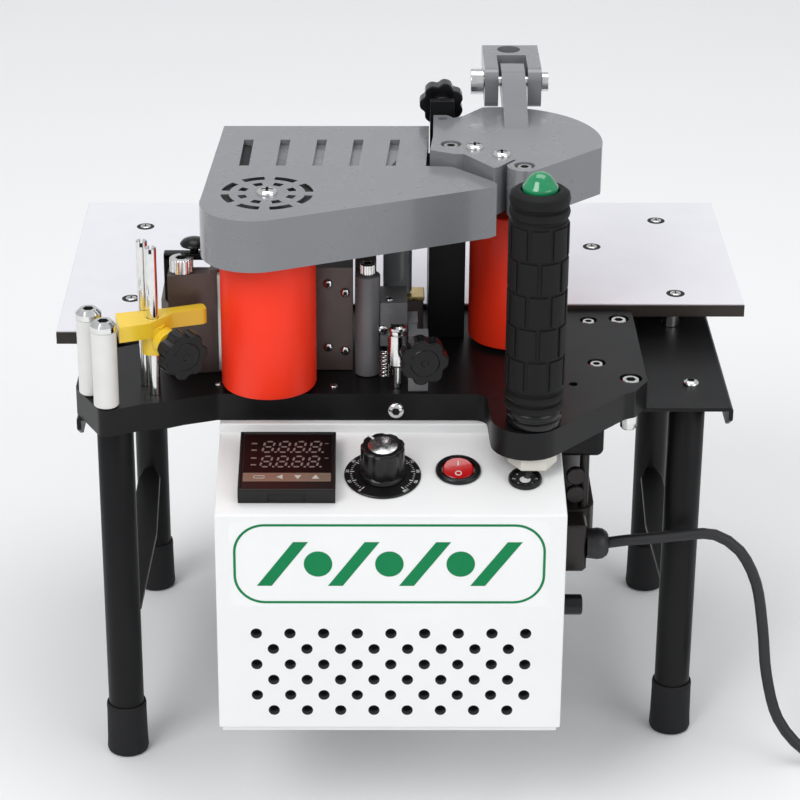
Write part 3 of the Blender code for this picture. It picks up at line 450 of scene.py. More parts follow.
def pan_head(radius, height, place, direction=(0, 0, 1), socket="cross"):
    """A domed screw head with a cross or hexagon recess."""
    dome = [(0, height)]
    for step in range(1, 7):
        angle = math.pi / 2 * step / 6
        dome.append((radius * math.sin(angle), height * (0.25 + 0.75 * math.cos(angle))))
    dome += [(radius, 0), (0, 0)]
    head = new_piece("head", turned(dome, steps=40), chrome)
    depth = height * 0.55
    if socket == "hex":
        tool = hexagon(radius * 0.5, height - depth, height + 1)
    else:
        arm, wide = radius * 0.58, radius * 0.13
        cross = [
            (-arm, -wide), (-wide, -wide), (-wide, -arm), (wide, -arm), (wide, -wide), (arm, -wide),
            (arm, wide), (wide, wide), (wide, arm), (-wide, arm), (-wide, wide), (-arm, wide),
        ]
        tool = slab(cross, height - depth, height + 1)
    # The recess walls take near-black: painted shade inside the socket.
    carve(head, tool, recess_painted_shade)
    head.data.transform(Matrix.Translation(Vector(place) * MM) @ facing(direction))
    head.data.set_sharp_from_angle(angle=math.radians(35))
    return head


def add_screw(name, radius, height, place, direction=(0, 0, 1), socket="cross"):
    head = pan_head(radius, height, place, direction, socket)
    head.name = name
    fit(head, "frame", [])


board_screws = ((110.8, 98.1), (152.4, 27.6), (-152.0, 20.0), (-152.0, 130.0), (152.4, 140.0))
low, high = TABLE_TOP - 0.3, TABLE_TOP + 0.04
for number, (x, y) in enumerate(board_screws):
    # Each board screw sits in a thin near-black disc: painted shade in its countersink.
    sink = turned([(0, high), (5.2, high), (5.2, low), (0, low)], (x, y, 0), steps=40)
    add(f"board_sink_shade_{number}", sink, recess_painted_shade)
    add_screw(f"board_screw_{number}", 3.1, 0.9, (x, y, TABLE_TOP))
spacer_profile = [(5.2, 221.6), (5.2, 211.3), (2.0, 211.3), (2.0, 221.6)]
for number, (x, y) in enumerate(((150.0, 27.6), (150.0, 140.0), (-150.0, 20.0), (-150.0, 130.0))):
    spacer = turned(spacer_profile, (x, y, 0), steps=32, closed=True)
    add(f"board_spacer_{number}", spacer, chrome, 0.2)

# ---------------------------------------------------------------------------------------------
# Side rails, legs and braces. The rails are folded steel, the legs are tubes with rubber caps
# and the braces are flat bars welded between them; all are powder coated black.

powder = moulded(
    "black_powder_coat", (0.0045, 0.0045, 0.005), 0.4, 1500.0, 0.35, specular_ior_level=0.22
)
cap_rubber = moulded("cap_rubber", (0.010, 0.010, 0.011), 0.7, 1100.0, 0.3, specular_ior_level=0.3)

for side in ("left", "right"):
    add_softened(f"side_channel_{side}", powder, 0.5)
    add_softened(f"leg_brace_{side}", powder, 0.6)

for name in ("front_left", "front_right", "back_left", "back_right"):
    low, high = (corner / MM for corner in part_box(f"leg_{name}"))
    x, y = (low.x + high.x) / 2, (low.y + high.y) / 2
    leg = turned(
        [(0, high.z), (9.3, high.z), (9.7, high.z - 0.5), (9.7, low.z), (0, low.z)], (x, y, 0), steps=56
    )
    add(f"leg_tube_{name}", leg, powder, nodes=[f"leg_{name}"])
    cap = [
        (9.8, 30.0), (10.3, 30.5), (10.8, 30.1), (11.0, 28.8), (11.0, 27.2), (10.9, 26.6), (11.2, 8.0),
        (11.5, 2.0), (11.0, 0.4), (9.5, 0.0), (0, 0.0),
    ]
    add(
        f"leg_cap_{name}", turned(cap, (x, y, 0), steps=56), cap_rubber,
        nodes=[f"foot_{name}"],
    )

add_screw("leg_screw_right", 4.4, 2.6, (153.1, -53.5, 211.1), socket="hex")
add_screw("leg_screw_left", 4.4, 2.6, (-153.8, 60.0, 211.1), socket="hex")
bolt_end = turned(
    [(0, 211.0), (4.4, 211.0), (4.4, 204.6), (3.6, 203.6), (0, 203.6)], (116.5, -92.0, 0), steps=32
)
add("rail_bolt_end", bolt_end, chrome)

# ---------------------------------------------------------------------------------------------
# Base plate. A thick machined plate, satin black, that carries the head; socket screws sit in
# its counterbores.

plate_black = moulded(
    "plate_black", (0.005, 0.005, 0.0055), 0.38, 1300.0, 0.25, specular_ior_level=0.24
)
add_softened("base_plate", plate_black, 0.9, 3)


def socket_screw(name, radius, place, height=4.0, chamfer=0.5, finish=chrome):
    """A cap screw: a short cylinder with a chamfer and a hexagon socket."""
    profile = [(0, height), (radius - chamfer, height), (radius, height - chamfer), (radius, 0), (0, 0)]
    head = new_piece(name, turned(profile, steps=48), finish)
    across = (radius - chamfer) * 0.66
    # The socket walls take near-black: painted shade inside the hexagon.
    carve(head, hexagon(across, height * 0.45, height + 1), recess_painted_shade)
    head.data.transform(Matrix.Translation(Vector(place) * MM))
    head.data.set_sharp_from_angle(angle=math.radians(35))
    return fit(head, "frame", [])


plate_screws = ((101.5, -2.6, 9.6), (118.3, -0.6, 11.3), (101.5, -59.7, 9.9), (118.0, -79.8, 12.0))
for number, (x, y, across) in enumerate(plate_screws):
    socket_screw(f"plate_screw_{number}", across / 2 - 0.9, (x, y, 220.5), 5.4, 0.9)
add_screw("plate_front_screw", 4.4, 2.6, (-5.5, -99.6, 217.2), (0, -1, 0), "hex")

# ---------------------------------------------------------------------------------------------
# Control box. A folded steel shell in white powder coat, with a field of round vents low on its
# front and a badge with a green frame above them.


def steady_shading(made, angle):
    """Sharp creases past an angle, and flat faces that stay flat beside rounded edges."""
    made.data.set_sharp_from_angle(angle=math.radians(angle))
    made.modifiers.new("shading", "WEIGHTED_NORMAL").keep_sharp = True


BOX_FRONT = -170.6
PANEL_BACK = -103.7
PANEL_LOW, PANEL_HIGH = 192.2, 205.6
PANEL_TILT = math.atan2(PANEL_HIGH - PANEL_LOW, PANEL_BACK - BOX_FRONT)

white_coat = Finish("white_powder_coat", 0.42)
peel = white_coat.noise(900.0, 2.0)
white_coat.tones(white_coat.noise(12.0), (0.76, 0.765, 0.76), (0.84, 0.84, 0.835))
white_coat.set("Roughness", white_coat.noise(30.0) * 0.14 + 0.34)
white_coat.bump(peel, 0.18, 0.00005)
# Near-black for the walls of the vent holes: painted shade standing for the dark inside of the box, as
# the shell here is solid.
vent_painted_shade = moulded("vent_painted_shade", (0.03, 0.03, 0.032), 0.7)


profile = [
    (-76.0, 211.1), (PANEL_BACK, 211.1), (PANEL_BACK, PANEL_HIGH), (BOX_FRONT, PANEL_LOW),
    (BOX_FRONT, 68.1), (-76.0, 68.1),
]
along_x = Matrix(((0, 0, 1, 0), (1, 0, 0, 0), (0, 1, 0, 0), (0, 0, 0, 1)))
shell_shape = slab(profile, -97.2, 79.8)
bmesh.ops.transform(shell_shape, matrix=along_x, verts=shell_shape.verts)
bmesh.ops.recalc_face_normals(shell_shape, faces=shell_shape.faces)
shell = new_piece("control_box_shell", shell_shape, white_coat, 0.9, 3, 50.0)
vents = []
for row in range(6):
    for column in range(9 - row % 2):
        x = -77.1 + 17.2 * (column + 0.5 * (row % 2))
        z = 124.4 - 9.12 * row
        vents.append(
            turned([(0, 3), (2.93, 3), (2.93, -6), (0, -6)], (x, BOX_FRONT, z), (0, -1, 0), 28)
        )
# The vents are shallow pockets in the solid shell; their walls take the painted shade.
carve(shell, together(*vents), vent_painted_shade)
steady_shading(shell, 60.0)
fit(shell, "frame", ["control_box"])
add_softened("control_box_floor", white_coat, 0.3)

# ---------------------------------------------------------------------------------------------
# Badge. A printed sticker: a green rounded frame round a generic mark of slanted stripes and
# discs, under a clear film whose edge just shows on the white paint.

BADGE = (-88.1, 69.5, 142.1, 187.4)
badge_green = moulded("badge_green", (0.002, 0.19, 0.062), 0.45, 500.0, 0.05, specular_ior_level=0.2)
film = Finish("clear_film", 0.22)
film.tones(film.noise(30.0), (0.79, 0.795, 0.79), (0.85, 0.85, 0.845))


def round_outline(low_x, high_x, low_z, high_z, radius, steps=12):
    """A rounded rectangle as (x, z) points."""
    points = []
    for x, z, start in (
        (high_x - radius, high_z - radius, 0), (low_x + radius, high_z - radius, 90),
        (low_x + radius, low_z + radius, 180), (high_x - radius, low_z + radius, 270),
    ):
        for step in range(steps + 1):
            angle = math.radians(start + 90 * step / steps)
            points.append((x + radius * math.cos(angle), z + radius * math.sin(angle)))
    return points


def on_front(shape):
    """Stands a shape drawn flat, as x across and y up, on the front of the box."""
    bmesh.ops.transform(shape, matrix=Matrix.Rotation(math.pi / 2, 4, "X"), verts=shape.verts)
    bmesh.ops.translate(shape, vec=(0, BOX_FRONT * MM, 0), verts=shape.verts)
    return shape


def ring(outer, inner, low, high):
    """A flat frame between two outlines with the same number of points."""
    shape = bmesh.new()
    sides = []
    for outline in (outer, inner):
        points = [shape.verts.new((x * MM, y * MM, low * MM)) for x, y in outline]
        sides += [shape.edges.new(pair) for pair in zip(points, points[1:] + points[:1])]
    bmesh.ops.bridge_loops(shape, edges=sides)
    grown = bmesh.ops.extrude_face_region(shape, geom=shape.faces[:])["geom"]
    top = [v for v in grown if isinstance(v, bmesh.types.BMVert)]
    bmesh.ops.translate(shape, vec=(0, 0, (high - low) * MM), verts=top)
    bmesh.ops.recalc_face_normals(shape, faces=shape.faces)
    return shape


x0, x1, z0, z1 = BADGE
sheet_edge = slab(round_outline(x0 - 2.3, x1 + 2.5, z0 - 2.5, z1 + 2.3, 3.0, 4), 0.02, 0.12)
add("badge_film", on_front(sheet_edge), film)
band = ring(
    round_outline(x0, x1, z0, z1, 16.0), round_outline(x0 + 1.3, x1 - 1.3, z0 + 1.3, z1 - 1.3, 14.7),
    0.1, 0.24,
)
add("badge_frame", on_front(band), badge_green)

mark = []
middle_x, middle_z = (x0 + x1) / 2, (z0 + z1) / 2
for offset in (-54.0, -18.0, 18.0, 54.0):
    stripe = [(middle_x + offset - 13.0, middle_z - 12.5), (middle_x + offset - 5.5, middle_z - 12.5),
              (middle_x + offset + 13.0, middle_z + 12.5), (middle_x + offset + 5.5, middle_z + 12.5)]
    mark.append(on_front(slab(stripe, 0.1, 0.24)))
for offset in (-36.0, 0.0, 36.0):
    disc = turned(
        [(0, 0.24), (7.2, 0.24), (7.2, 0.1), (0, 0.1)], (middle_x + offset, middle_z, 0), steps=40
    )
    mark.append(on_front(disc))
add("badge_mark", together(*mark), badge_green)

# ---------------------------------------------------------------------------------------------
# Temperature controller. A black panel instrument with a sloping bezel, two rows of dim digits
# and a bronze strip of keys; it snaps into a square hole in the sloped panel.

CONTROLLER = (-61.1, -137.2)
PRINT_LOW, PRINT_HIGH = 8.17, 8.27
controller_black = moulded(
    "controller_black", (0.007, 0.0065, 0.0065), 0.34, 1500.0, 0.1, specular_ior_level=0.3
)
controller_glass = Finish("controller_glass", 0.3, specular_ior_level=0.12)
controller_glass.tones(controller_glass.noise(40.0), (0.004, 0.0025, 0.0025), (0.010, 0.005, 0.005))
digit_finish = Finish("unlit_digits", 0.4)
digit_finish.tones(digit_finish.noise(200.0), (0.14, 0.105, 0.10), (0.22, 0.17, 0.16))
bronze = Finish("bronze_strip", 0.35, 0.35)
bronze.tones(bronze.noise(800.0, 2.0, (0.1, 3.0, 1.0)), (0.17, 0.12, 0.085), (0.25, 0.19, 0.14))
key_print = moulded("key_print", (0.42, 0.40, 0.36), 0.5, 900.0, 0.05)
white_print = moulded("white_print", (0.62, 0.62, 0.60), 0.5, 900.0, 0.05)


def panel_place(x, y):
    """A place on the sloped panel, in metres."""
    return Vector((x, y, PANEL_HIGH - (PANEL_BACK - y) * math.tan(PANEL_TILT))) * MM


def on_control_panel(shape, x, y):
    """Lays a shape drawn flat about the origin on the panel at a place."""
    matrix = Matrix.Translation(panel_place(x, y)) @ Matrix.Rotation(PANEL_TILT, 4, "X")
    bmesh.ops.transform(shape, matrix=matrix, verts=shape.verts)
    return shape


def framed_case(half, low, high, slope, rim, sink):
    """A square case with bevelled edges, and its face sunk inside a rim."""
    shape = block((-half, -half, low), (half, half, high))
    top = max(shape.faces, key=lambda face: face.calc_center_median().z)
    bmesh.ops.inset_region(shape, faces=[top], thickness=slope * MM, depth=slope * 0.6 * MM)
    bmesh.ops.inset_region(shape, faces=[top], thickness=rim * MM)
    bmesh.ops.inset_region(shape, faces=[top], thickness=0.4 * MM, depth=-sink * MM)
    return shape


case = framed_case(24.6, 0.3, 8.2, 0.9, 0.9, 0.7)
case = new_piece("controller_case", on_control_panel(case, *CONTROLLER), controller_black)
# A notch is cut in the front of the case; its walls take near-black, painted shade.
carve(case, on_control_panel(block((-9.5, -30.0, 1.0), (9.5, -23.6, 6.2)), *CONTROLLER), recess_painted_shade)
round_edges(case, 0.3)
fit(case, "frame", ["temperature_controller"])
glass = block((-22.3, -9.4, 7.5), (22.3, 22.2, 8.15))
add("controller_window", on_control_panel(glass, *CONTROLLER), controller_glass, 0.2)
strip = block((-22.3, -16.6, 7.5), (22.3, -9.6, 8.1))
add("controller_strip", on_control_panel(strip, *CONTROLLER), bronze, 0.15)


def segment_digit(x, y, height):
    """An eight made of seven slanted segments and a point, lying flat."""
    width, bar, lean = height * 0.56, height * 0.13, 0.16
    bars = []
    for row in (0.0, 0.5, 1.0):
        bars.append(((-width / 2 + bar * 0.7, row * height), (width / 2 - bar * 0.7, row * height), 0))
    for column in (-width / 2, width / 2):
        for row in (0.0, 0.5):
            bars.append(
                ((column, row * height + bar * 0.6), (column, (row + 0.5) * height - bar * 0.6), 1)
            )
    shapes = []
    half = bar / 2
    for (ax, ay), (bx, by), upright in bars:
        if upright:
            outline = [
                (ax, ay), (ax + half, ay + half), (ax + half, by - half),
                (bx, by), (ax - half, by - half), (ax - half, ay + half),
            ]
        else:
            outline = [
                (ax, ay), (ax + half, ay - half), (bx - half, ay - half),
                (bx, by), (bx - half, ay + half), (ax + half, ay + half),
            ]
        leaned = [(x + px + lean * py, y + py) for px, py in outline]
        shapes.append(slab(leaned, PRINT_LOW, PRINT_HIGH))
    point_x = x + width * 0.78
    shapes.append(block((point_x, y - half, PRINT_LOW), (point_x + bar, y + half, PRINT_HIGH)))
    return shapes


digits = []
for column in range(4):
    digits += segment_digit(-10.6 + 8.0 * column, 7.4, 8.8)
    digits += segment_digit(-11.4 + 8.0 * column, -4.8, 8.6)
add(
    "controller_digits", on_control_panel(together(*digits), *CONTROLLER), digit_finish
)

keys = []
for x, turn in ((-3.5, 90.0), (5.5, 180.0), (14.5, 0.0)):
    points = [
        Matrix.Rotation(math.radians(turn), 2) @ Vector(p)
        for p in ((-1.9, -1.4), (1.9, -1.4), (0.0, 1.9))
    ]
    keys.append(slab([(x + p.x, -13.1 + p.y) for p in points], 8.12, 8.22))
keys += [
    ring(
        round_outline(-17.0, -11.2, -14.3, -11.9, 0.9, 3),
        round_outline(-16.6, -11.6, -13.9, -12.3, 0.5, 3), 8.12, 8.22,
    ),
]
add("controller_keys", on_control_panel(together(*keys), *CONTROLLER), key_print)
lamps = [
    block((-18.6, y - 0.5, PRINT_LOW), (-15.8, y + 0.5, PRINT_HIGH))
    for y in (14.6, 9.0, 2.4, -3.2)
]
lamps += [block((19.0, y - 0.25, PRINT_LOW), (20.8, y + 0.25, PRINT_HIGH)) for y in (14.6, 2.4)]
add("controller_lamps", on_control_panel(together(*lamps), *CONTROLLER), digit_finish)

# ---------------------------------------------------------------------------------------------
# Speed control. A black dial plate printed with white ticks and figures, and a fluted knob with
# a spun aluminium cap and a white pointer, fixed on the shaft by a grub screw.

DIAL = (-12.6, -138.6)
dial_black = moulded("dial_black", (0.006, 0.006, 0.0065), 0.3, 900.0, 0.05, specular_ior_level=0.3)
knob_black = moulded("knob_black", (0.006, 0.006, 0.0065), 0.24, 1400.0, 0.03, specular_ior_level=0.35)
spun = Finish("spun_aluminium_painted_highlights", 0.26, 1.0)
# The cap's colour swings between dark and bright grey in four pairs of sectors round the dial's centre:
# painted highlights and shade standing for the light that the spun metal reflects.
highlight_spot = spun.node(
    "ShaderNodeMapping", {"vector_type": "TEXTURE"},
    {"Vector": spun.place, "Location": panel_place(*DIAL), "Rotation": (PANEL_TILT, 0.0, 0.0)},
)
highlight_angle = spun.node("ShaderNodeTexGradient", {"gradient_type": "RADIAL"}, {0: highlight_spot}, 1)
painted_highlight_waves = spun.node(
    "ShaderNodeMath", {"operation": "COSINE"}, {0: highlight_angle * (4 * math.tau) + 0.8}
)
spun.tones(painted_highlight_waves * 0.5 + 0.5, (0.3, 0.3, 0.3), (0.9, 0.9, 0.9))
spun.set("Roughness", spun.noise(500.0, 2.0) * 0.18 + 0.16)

disc = turned([(0, 1.3), (19.3, 1.3), (19.6, 1.0), (19.6, 0.3), (0, 0.3)], steps=80)
add("dial_disc", on_control_panel(disc, *DIAL), dial_black, nodes=["dial_plate"])

print_height = (1.32, 1.42)
ticks = []
for step in range(51):
    angle = math.radians(230.0 - 280.0 * step / 50)
    inner = 14.6 if step % 5 == 0 else 15.6
    wide = 0.22 if step % 5 == 0 else 0.12
    along, across = Vector((math.cos(angle), math.sin(angle))), Vector(
        (-math.sin(angle), math.cos(angle))
    )
    corners = [
        along * inner - across * wide, along * 16.6 - across * wide, along * 16.6 + across * wide,
        along * inner + across * wide,
    ]
    ticks.append(slab([tuple(c) for c in corners], *print_height))
figures = bpy.data.curves.new("figure", "FONT")
figures.size = 3.4
figures.extrude = 0.05
figures.align_x = "CENTER"
figures.align_y = "CENTER"
figure_object = bpy.data.objects.new("figure", figures)
bpy.context.scene.collection.objects.link(figure_object)
for number in range(0, 101, 10):
    angle = 230.0 - 280.0 * number / 100
    figures.body = str(number)
    bpy.context.view_layer.update()
    graph = bpy.context.evaluated_depsgraph_get()
    drawn = bpy.data.meshes.new_from_object(figure_object.evaluated_get(graph))
    shape = bmesh.new()
    shape.from_mesh(drawn)
    bpy.data.meshes.remove(drawn)
    turn = math.radians(angle)
    place = Matrix.Translation(
        (18.0 * math.cos(turn), 18.0 * math.sin(turn), 1.37)
    ) @ Matrix.Rotation(turn - math.pi / 2, 4, "Z")
    bmesh.ops.transform(
        shape, matrix=Matrix.Scale(MM, 4) @ place @ Matrix.Scale(0.72, 4), verts=shape.verts
    )
    ticks.append(shape)
bpy.data.objects.remove(figure_object)
add("dial_print", on_control_panel(together(*ticks), *DIAL), white_print)


def fluted(radius, depth, count, low, high, chamfer=0.8, steps=4):
    """A knob body: a round outline with shallow flutes, its top edge chamfered."""
    outline = []
    for step in range(count * steps):
        angle = math.tau * step / (count * steps)
        dip = depth * max(0.0, math.cos(math.tau * step / steps))
        outline.append(((radius - dip) * math.cos(angle), (radius - dip) * math.sin(angle)))
    shape = slab(outline, low, high)
    top = max(shape.faces, key=lambda face: face.calc_center_median().z)
    bmesh.ops.inset_region(shape, faces=[top], thickness=chamfer * MM, depth=chamfer * 0.7 * MM)
    return shape


skirt = turned([(0, 4.6), (10.2, 4.6), (11.4, 3.6), (11.9, 2.2), (11.9, 1.6), (0, 1.6)], steps=72)
knob = together(skirt, fluted(11.3, 0.7, 9, 4.4, 18.6, 1.1, 10))
knob = new_piece("speed_knob_body", on_control_panel(knob, *DIAL), knob_black, 0.2, 2, 30.0)
fit(knob, "speed_dial", ["speed_knob"])
cap = turned([(0, 19.5), (7.2, 19.55), (7.6, 19.3), (7.6, 18.6), (0, 18.6)], steps=64)
add("speed_knob_cap", on_control_panel(cap, *DIAL), spun, body="speed_dial")
pointer = block((-0.5, 7.0, 19.2), (0.5, 11.2, 19.75))
bmesh.ops.transform(pointer, matrix=Matrix.Rotation(math.radians(42.0), 4, "Z"), verts=pointer.verts)
add(
    "speed_knob_pointer", on_control_panel(pointer, *DIAL), white_print,
    body="speed_dial",
)

# ---------------------------------------------------------------------------------------------
# Power switch. A round rocker of clear red plastic in a black bezel, snapped into the panel,
# with the usual on and off signs.

ROCKER = (26.0, -135.2)
ROCKER_TILT = math.radians(8.0)
rocker_red = Finish("rocker_red", 0.2, coat_weight=0.5, coat_roughness=0.08)
rocker_red.tones(rocker_red.noise(90.0), (0.36, 0.002, 0.004), (0.50, 0.005, 0.007))
bezel_profile = [
    (11.65, 0.3), (11.65, 1.4), (11.0, 2.3), (10.0, 2.6), (8.9, 2.4), (8.5, 1.7), (8.5, 0.3)
]
bezel = turned(bezel_profile, steps=72, closed=True)
add(
    "rocker_bezel_ring", on_control_panel(bezel, *ROCKER), knob_black,
    nodes=["rocker_bezel"],
)
rocker_profile = [(0, 2.1), (6.2, 2.2), (7.2, 2.4), (7.8, 2.0), (8.0, 1.2), (8.0, -2.2), (0, -2.2)]
rocker_shape = turned(rocker_profile, steps=64)
bmesh.ops.transform(rocker_shape, matrix=Matrix.Rotation(ROCKER_TILT, 4, "X"), verts=rocker_shape.verts)
rocker_body = new_piece("rocker_body", on_control_panel(rocker_shape, *ROCKER), rocker_red)
fit(rocker_body, "power_rocker", ["rocker_switch"])
signs = together(
    block((-0.3, 1.8, 2.28), (0.3, 5.2, 2.42)),
    ring(
        round_outline(-1.7, 1.7, -5.2, -1.8, 1.69, 8), round_outline(-1.2, 1.2, -4.7, -2.3, 1.19, 8),
        2.28, 2.42,
    ),
)
bmesh.ops.transform(signs, matrix=Matrix.Rotation(ROCKER_TILT, 4, "X"), verts=signs.verts)
add("rocker_signs", on_control_panel(signs, *ROCKER), white_print, body="power_rocker")

# ---------------------------------------------------------------------------------------------
# Grommet and fuse holder. A collar with bright spring fingers takes the handle's cable through
# the panel; the fuse holder is a black bayonet cap on the right side.

GROMMET = (59.8, -142.3)
grommet_ring = turned(
    [(8.6, 0.3), (8.6, 1.6), (8.0, 2.5), (7.2, 2.6), (6.9, 2.2), (6.9, 0.3)], steps=56, closed=True
)
add(
    "grommet_collar", on_control_panel(grommet_ring, *GROMMET), knob_black,
    nodes=["cable_grommet"],
)
fingers = []
for step in range(8):
    finger = block((4.8, -0.5, 0.7), (6.8, 0.5, 1.1))
    bmesh.ops.transform(finger, matrix=Matrix.Rotation(math.tau * step / 8, 4, "Z"), verts=finger.verts)
    fingers.append(finger)
# A near-black ring down in the collar: painted shade inside the hole.
well_shade = turned([(2.9, 0.6), (6.85, 0.6), (6.85, 0.3), (2.9, 0.3)], steps=40, closed=True)
add("grommet_well_shade", on_control_panel(well_shade, *GROMMET), recess_painted_shade)
add("grommet_fingers", on_control_panel(together(*fingers), *GROMMET), chrome, 0.12)
fuse = together(
    turned(
        [(0, 4.0), (6.6, 4.0), (7.0, 3.6), (7.0, 0.3), (0, 0.3)], (79.8, -100.0, 102.0), (1, 0, 0), 40
    ),
    turned(
        [(0, 14.2), (2.6, 14.2), (2.8, 15.3), (4.9, 15.3), (5.6, 14.6), (5.6, 3.8), (0, 3.8)],
        (79.8, -100.0, 102.0), (1, 0, 0), 28,
    ),
)
add("fuse_cap", fuse, knob_black, 0.2, 2, 30.0, nodes=["fuse_holder"])

# ---------------------------------------------------------------------------------------------
# Drive. A cast gearbox under the plate and a ribbed motor below it, in dark brown-grey paint,
# held by long bright rods; the terminal chamber carries the cord's gland.

motor_paint = moulded("motor_paint", (0.013, 0.0095, 0.008), 0.34, 700.0, 0.25, specular_ior_level=0.4)
add_softened("gearbox", powder, 1.2, 3)
add_softened("drive_motor", motor_paint, 0.5, 2, 50.0)
rods = []
for x, y in ((97.0, -63.0), (97.0, 13.0), (21.0, -63.0), (21.0, 13.0)):
    rods.append(
        turned([(0, 146.5), (2.2, 146.5), (2.4, 147.0), (2.4, 174.2), (0, 174.2)], (x, y, 0), steps=24)
    )
add("motor_rods", together(*rods), chrome)
bosses = []
for z in (152.0, 163.0):
    bosses.append(
        turned([(0, 3.2), (4.4, 3.2), (5.0, 2.6), (5.0, 0), (0, 0)], (92.0, -66.0, z), (0, -1, 0), 28)
    )
add("motor_bosses", together(*bosses), motor_paint)

# ---------------------------------------------------------------------------------------------
# Rollers and gears. The two big rollers are cast in orange-red silicone on steel axles; the
# black gears that join them turn inside the cover.

ROLLER = (24.7, 228.4, 303.5)
FRONT_AXIS = (-71.5, -88.0)
REAR_AXIS = (59.0, -25.0)
silicone = Finish("orange_silicone", 0.42, specular_ior_level=0.3)
silicone.tones(silicone.noise(16.0, 4.0), (0.88, 0.030, 0.008), (0.98, 0.044, 0.012))
silicone.set("Roughness", silicone.noise(60.0) * 0.16 + 0.36)
silicone.bump(silicone.noise(500.0, 2.0, (1.0, 1.0, 0.3)), 0.06, 0.0001)
turned_steel = Finish("turned_steel", 0.32, 1.0)
turned_steel.tones(
    turned_steel.noise(900.0, 2.0, (1.0, 1.0, 6.0)), (0.42, 0.42, 0.41), (0.6, 0.6, 0.59)
)
turned_steel.set("Roughness", turned_steel.noise(1300.0, 2.0, (1.0, 1.0, 5.0)) * 0.2 + 0.2)
nylon = moulded("white_nylon", (0.7, 0.7, 0.67), 0.45, 500.0, 0.1)


def roller_body(name, axis, radius, low, high, body, bore, node):
    """A silicone tyre with rounded rims, open along its bore."""
    profile = [(bore, low), (radius - 1.2, low), (radius - 0.35, low + 0.35), (radius, low + 1.2),
               (radius, high - 1.2), (radius - 0.35, high - 0.35), (radius - 1.2, high), (bore, high)]
    made = new_piece(name, turned(profile, (*axis, 0), steps=112, closed=True), silicone, angle=60.0)
    return fit(made, body, [node])


roller_body("front_roller_tyre", FRONT_AXIS, *ROLLER, "front_drive", 6.0, "front_roller")
roller_body("rear_roller_tyre", REAR_AXIS, *ROLLER, "rear_drive", 6.3, "rear_roller")
add_softened("rear_shaft", turned_steel, 0.3, body="rear_drive")
add_softened("glue_roller", turned_steel, 0.3, body="glue_drive")
for gear, body in (
    ("front_gear", "front_drive"), ("rear_gear", "rear_drive"), ("glue_gear", "glue_drive"),
    ("idler_gear", "idler"),
):
    add_softened(gear, knob_black, 0.15, 1, body=body)

# ---------------------------------------------------------------------------------------------
# Gear cover. A grey gloss-painted aluminium casting over the front roller and the gear train,
# with slanted vent slots and a round vented rosette above the roller.

ROSETTE = (-71.3, -88.0)
cast_grey = Finish("grey_casting", 0.25, coat_weight=0.45, coat_roughness=0.09)
spray = cast_grey.noise(1500.0, 1.0)
cast_grey.tones(cast_grey.noise(18.0, 4.0), (0.168, 0.174, 0.184), (0.190, 0.197, 0.208))
cast_grey.set("Roughness", cast_grey.noise(45.0) * 0.08 + 0.24)
cast_grey.bump(spray, 0.1, 0.00004)
# Near-black for the walls of the cover's slots and for a sheet under them: painted shade for the dark
# inside the casting.
slot_painted_shade = moulded("slot_painted_shade", (0.012, 0.012, 0.013), 0.7)


def arc_slot(centre, inner, outer, start, end, low, high, steps=6):
    """A curved slot between two radii and two angles, in degrees."""
    points = []
    for step in range(steps + 1):
        angle = math.radians(start + (end - start) * step / steps)
        points.append((centre[0] + outer * math.cos(angle), centre[1] + outer * math.sin(angle)))
    for step in range(steps, -1, -1):
        angle = math.radians(start + (end - start) * step / steps)
        points.append((centre[0] + inner * math.cos(angle), centre[1] + inner * math.sin(angle)))
    return slab(points, low, high)


cover = softened("gear_cover", cast_grey, 1.1, 3, 40.0)
cuts = []
for step in range(8):
    cuts.append(arc_slot(ROSETTE, 19.4, 23.6, 45 * step + 5, 45 * step + 36, 331.2, 336.0, 8))
    cuts.append(arc_slot(ROSETTE, 11.2, 15.2, 45 * step + 12, 45 * step + 32, 331.2, 336.0, 4))
# The rosette's arc slots are cut through the roof; their walls take the painted shade.
carve(cover, together(*cuts), slot_painted_shade)
steady_shading(cover, 40.0)
fit(cover, "frame", ["gear_cover"])
# A thin near-black sheet inside the cover under the vent slots: painted shade, so that the slots look
# dark.
shade_sheet = slab([(-94.0, -52.0), (2.0, -52.0), (4.0, -4.0), (-92.0, -4.0)], 329.0, 329.7)
add("cover_shade_sheet", shade_sheet, slot_painted_shade)
add_screw("rosette_screw", 5.4, 2.6, (*ROSETTE, 333.0))

# ---------------------------------------------------------------------------------------------
# Disc cover and hanger. A second casting covers the rear roller, with a raised rib up to the
# hinge; a forked clevis rocks there on a bolt with nylon spacers.

add_softened("disc_cover", cast_grey, 1.0, 3)
for number, (x, y) in enumerate(((35.5, -37.9), (49.1, -49.4))):
    add_screw(f"disc_screw_{number}", 4.7, 2.4, (x, y, 339.5))
for number, (x, y, radius) in enumerate(((60.1, -65.0, 4.0), (23.3, -32.5, 4.1))):
    socket_screw(f"disc_cap_screw_{number}", radius, (x, y, 337.2), 1.7, finish=turned_steel)
add_softened("hanger_clevis", cast_grey, 1.2, 3, body="hanger")
add_softened("hanger_bolt", chrome, 0.3)

# ---------------------------------------------------------------------------------------------
# Knobs. Moulded star knobs in glossy black, each with seven lobes, a round hub and a dimple in
# its face; the studs they turn are bright steel.

knob_gloss = Finish("knob_gloss", 0.28, specular_ior_level=0.25)
knob_gloss.tones(knob_gloss.noise(60.0), (0.004, 0.004, 0.0045), (0.008, 0.008, 0.009))
knob_gloss.set("Roughness", knob_gloss.noise(240.0) * 0.16 + 0.14)


def star_outline(radius, lobes=7, steps=10):
    """A round outline with shallow dips between its lobes."""
    points = []
    for step in range(lobes * steps):
        angle = math.tau * step / (lobes * steps)
        dip = 0.5 - 0.5 * math.cos(lobes * angle)
        reach = radius * (1.0 - 0.15 * dip**2)
        points.append((reach * math.cos(angle), reach * math.sin(angle)))
    return points


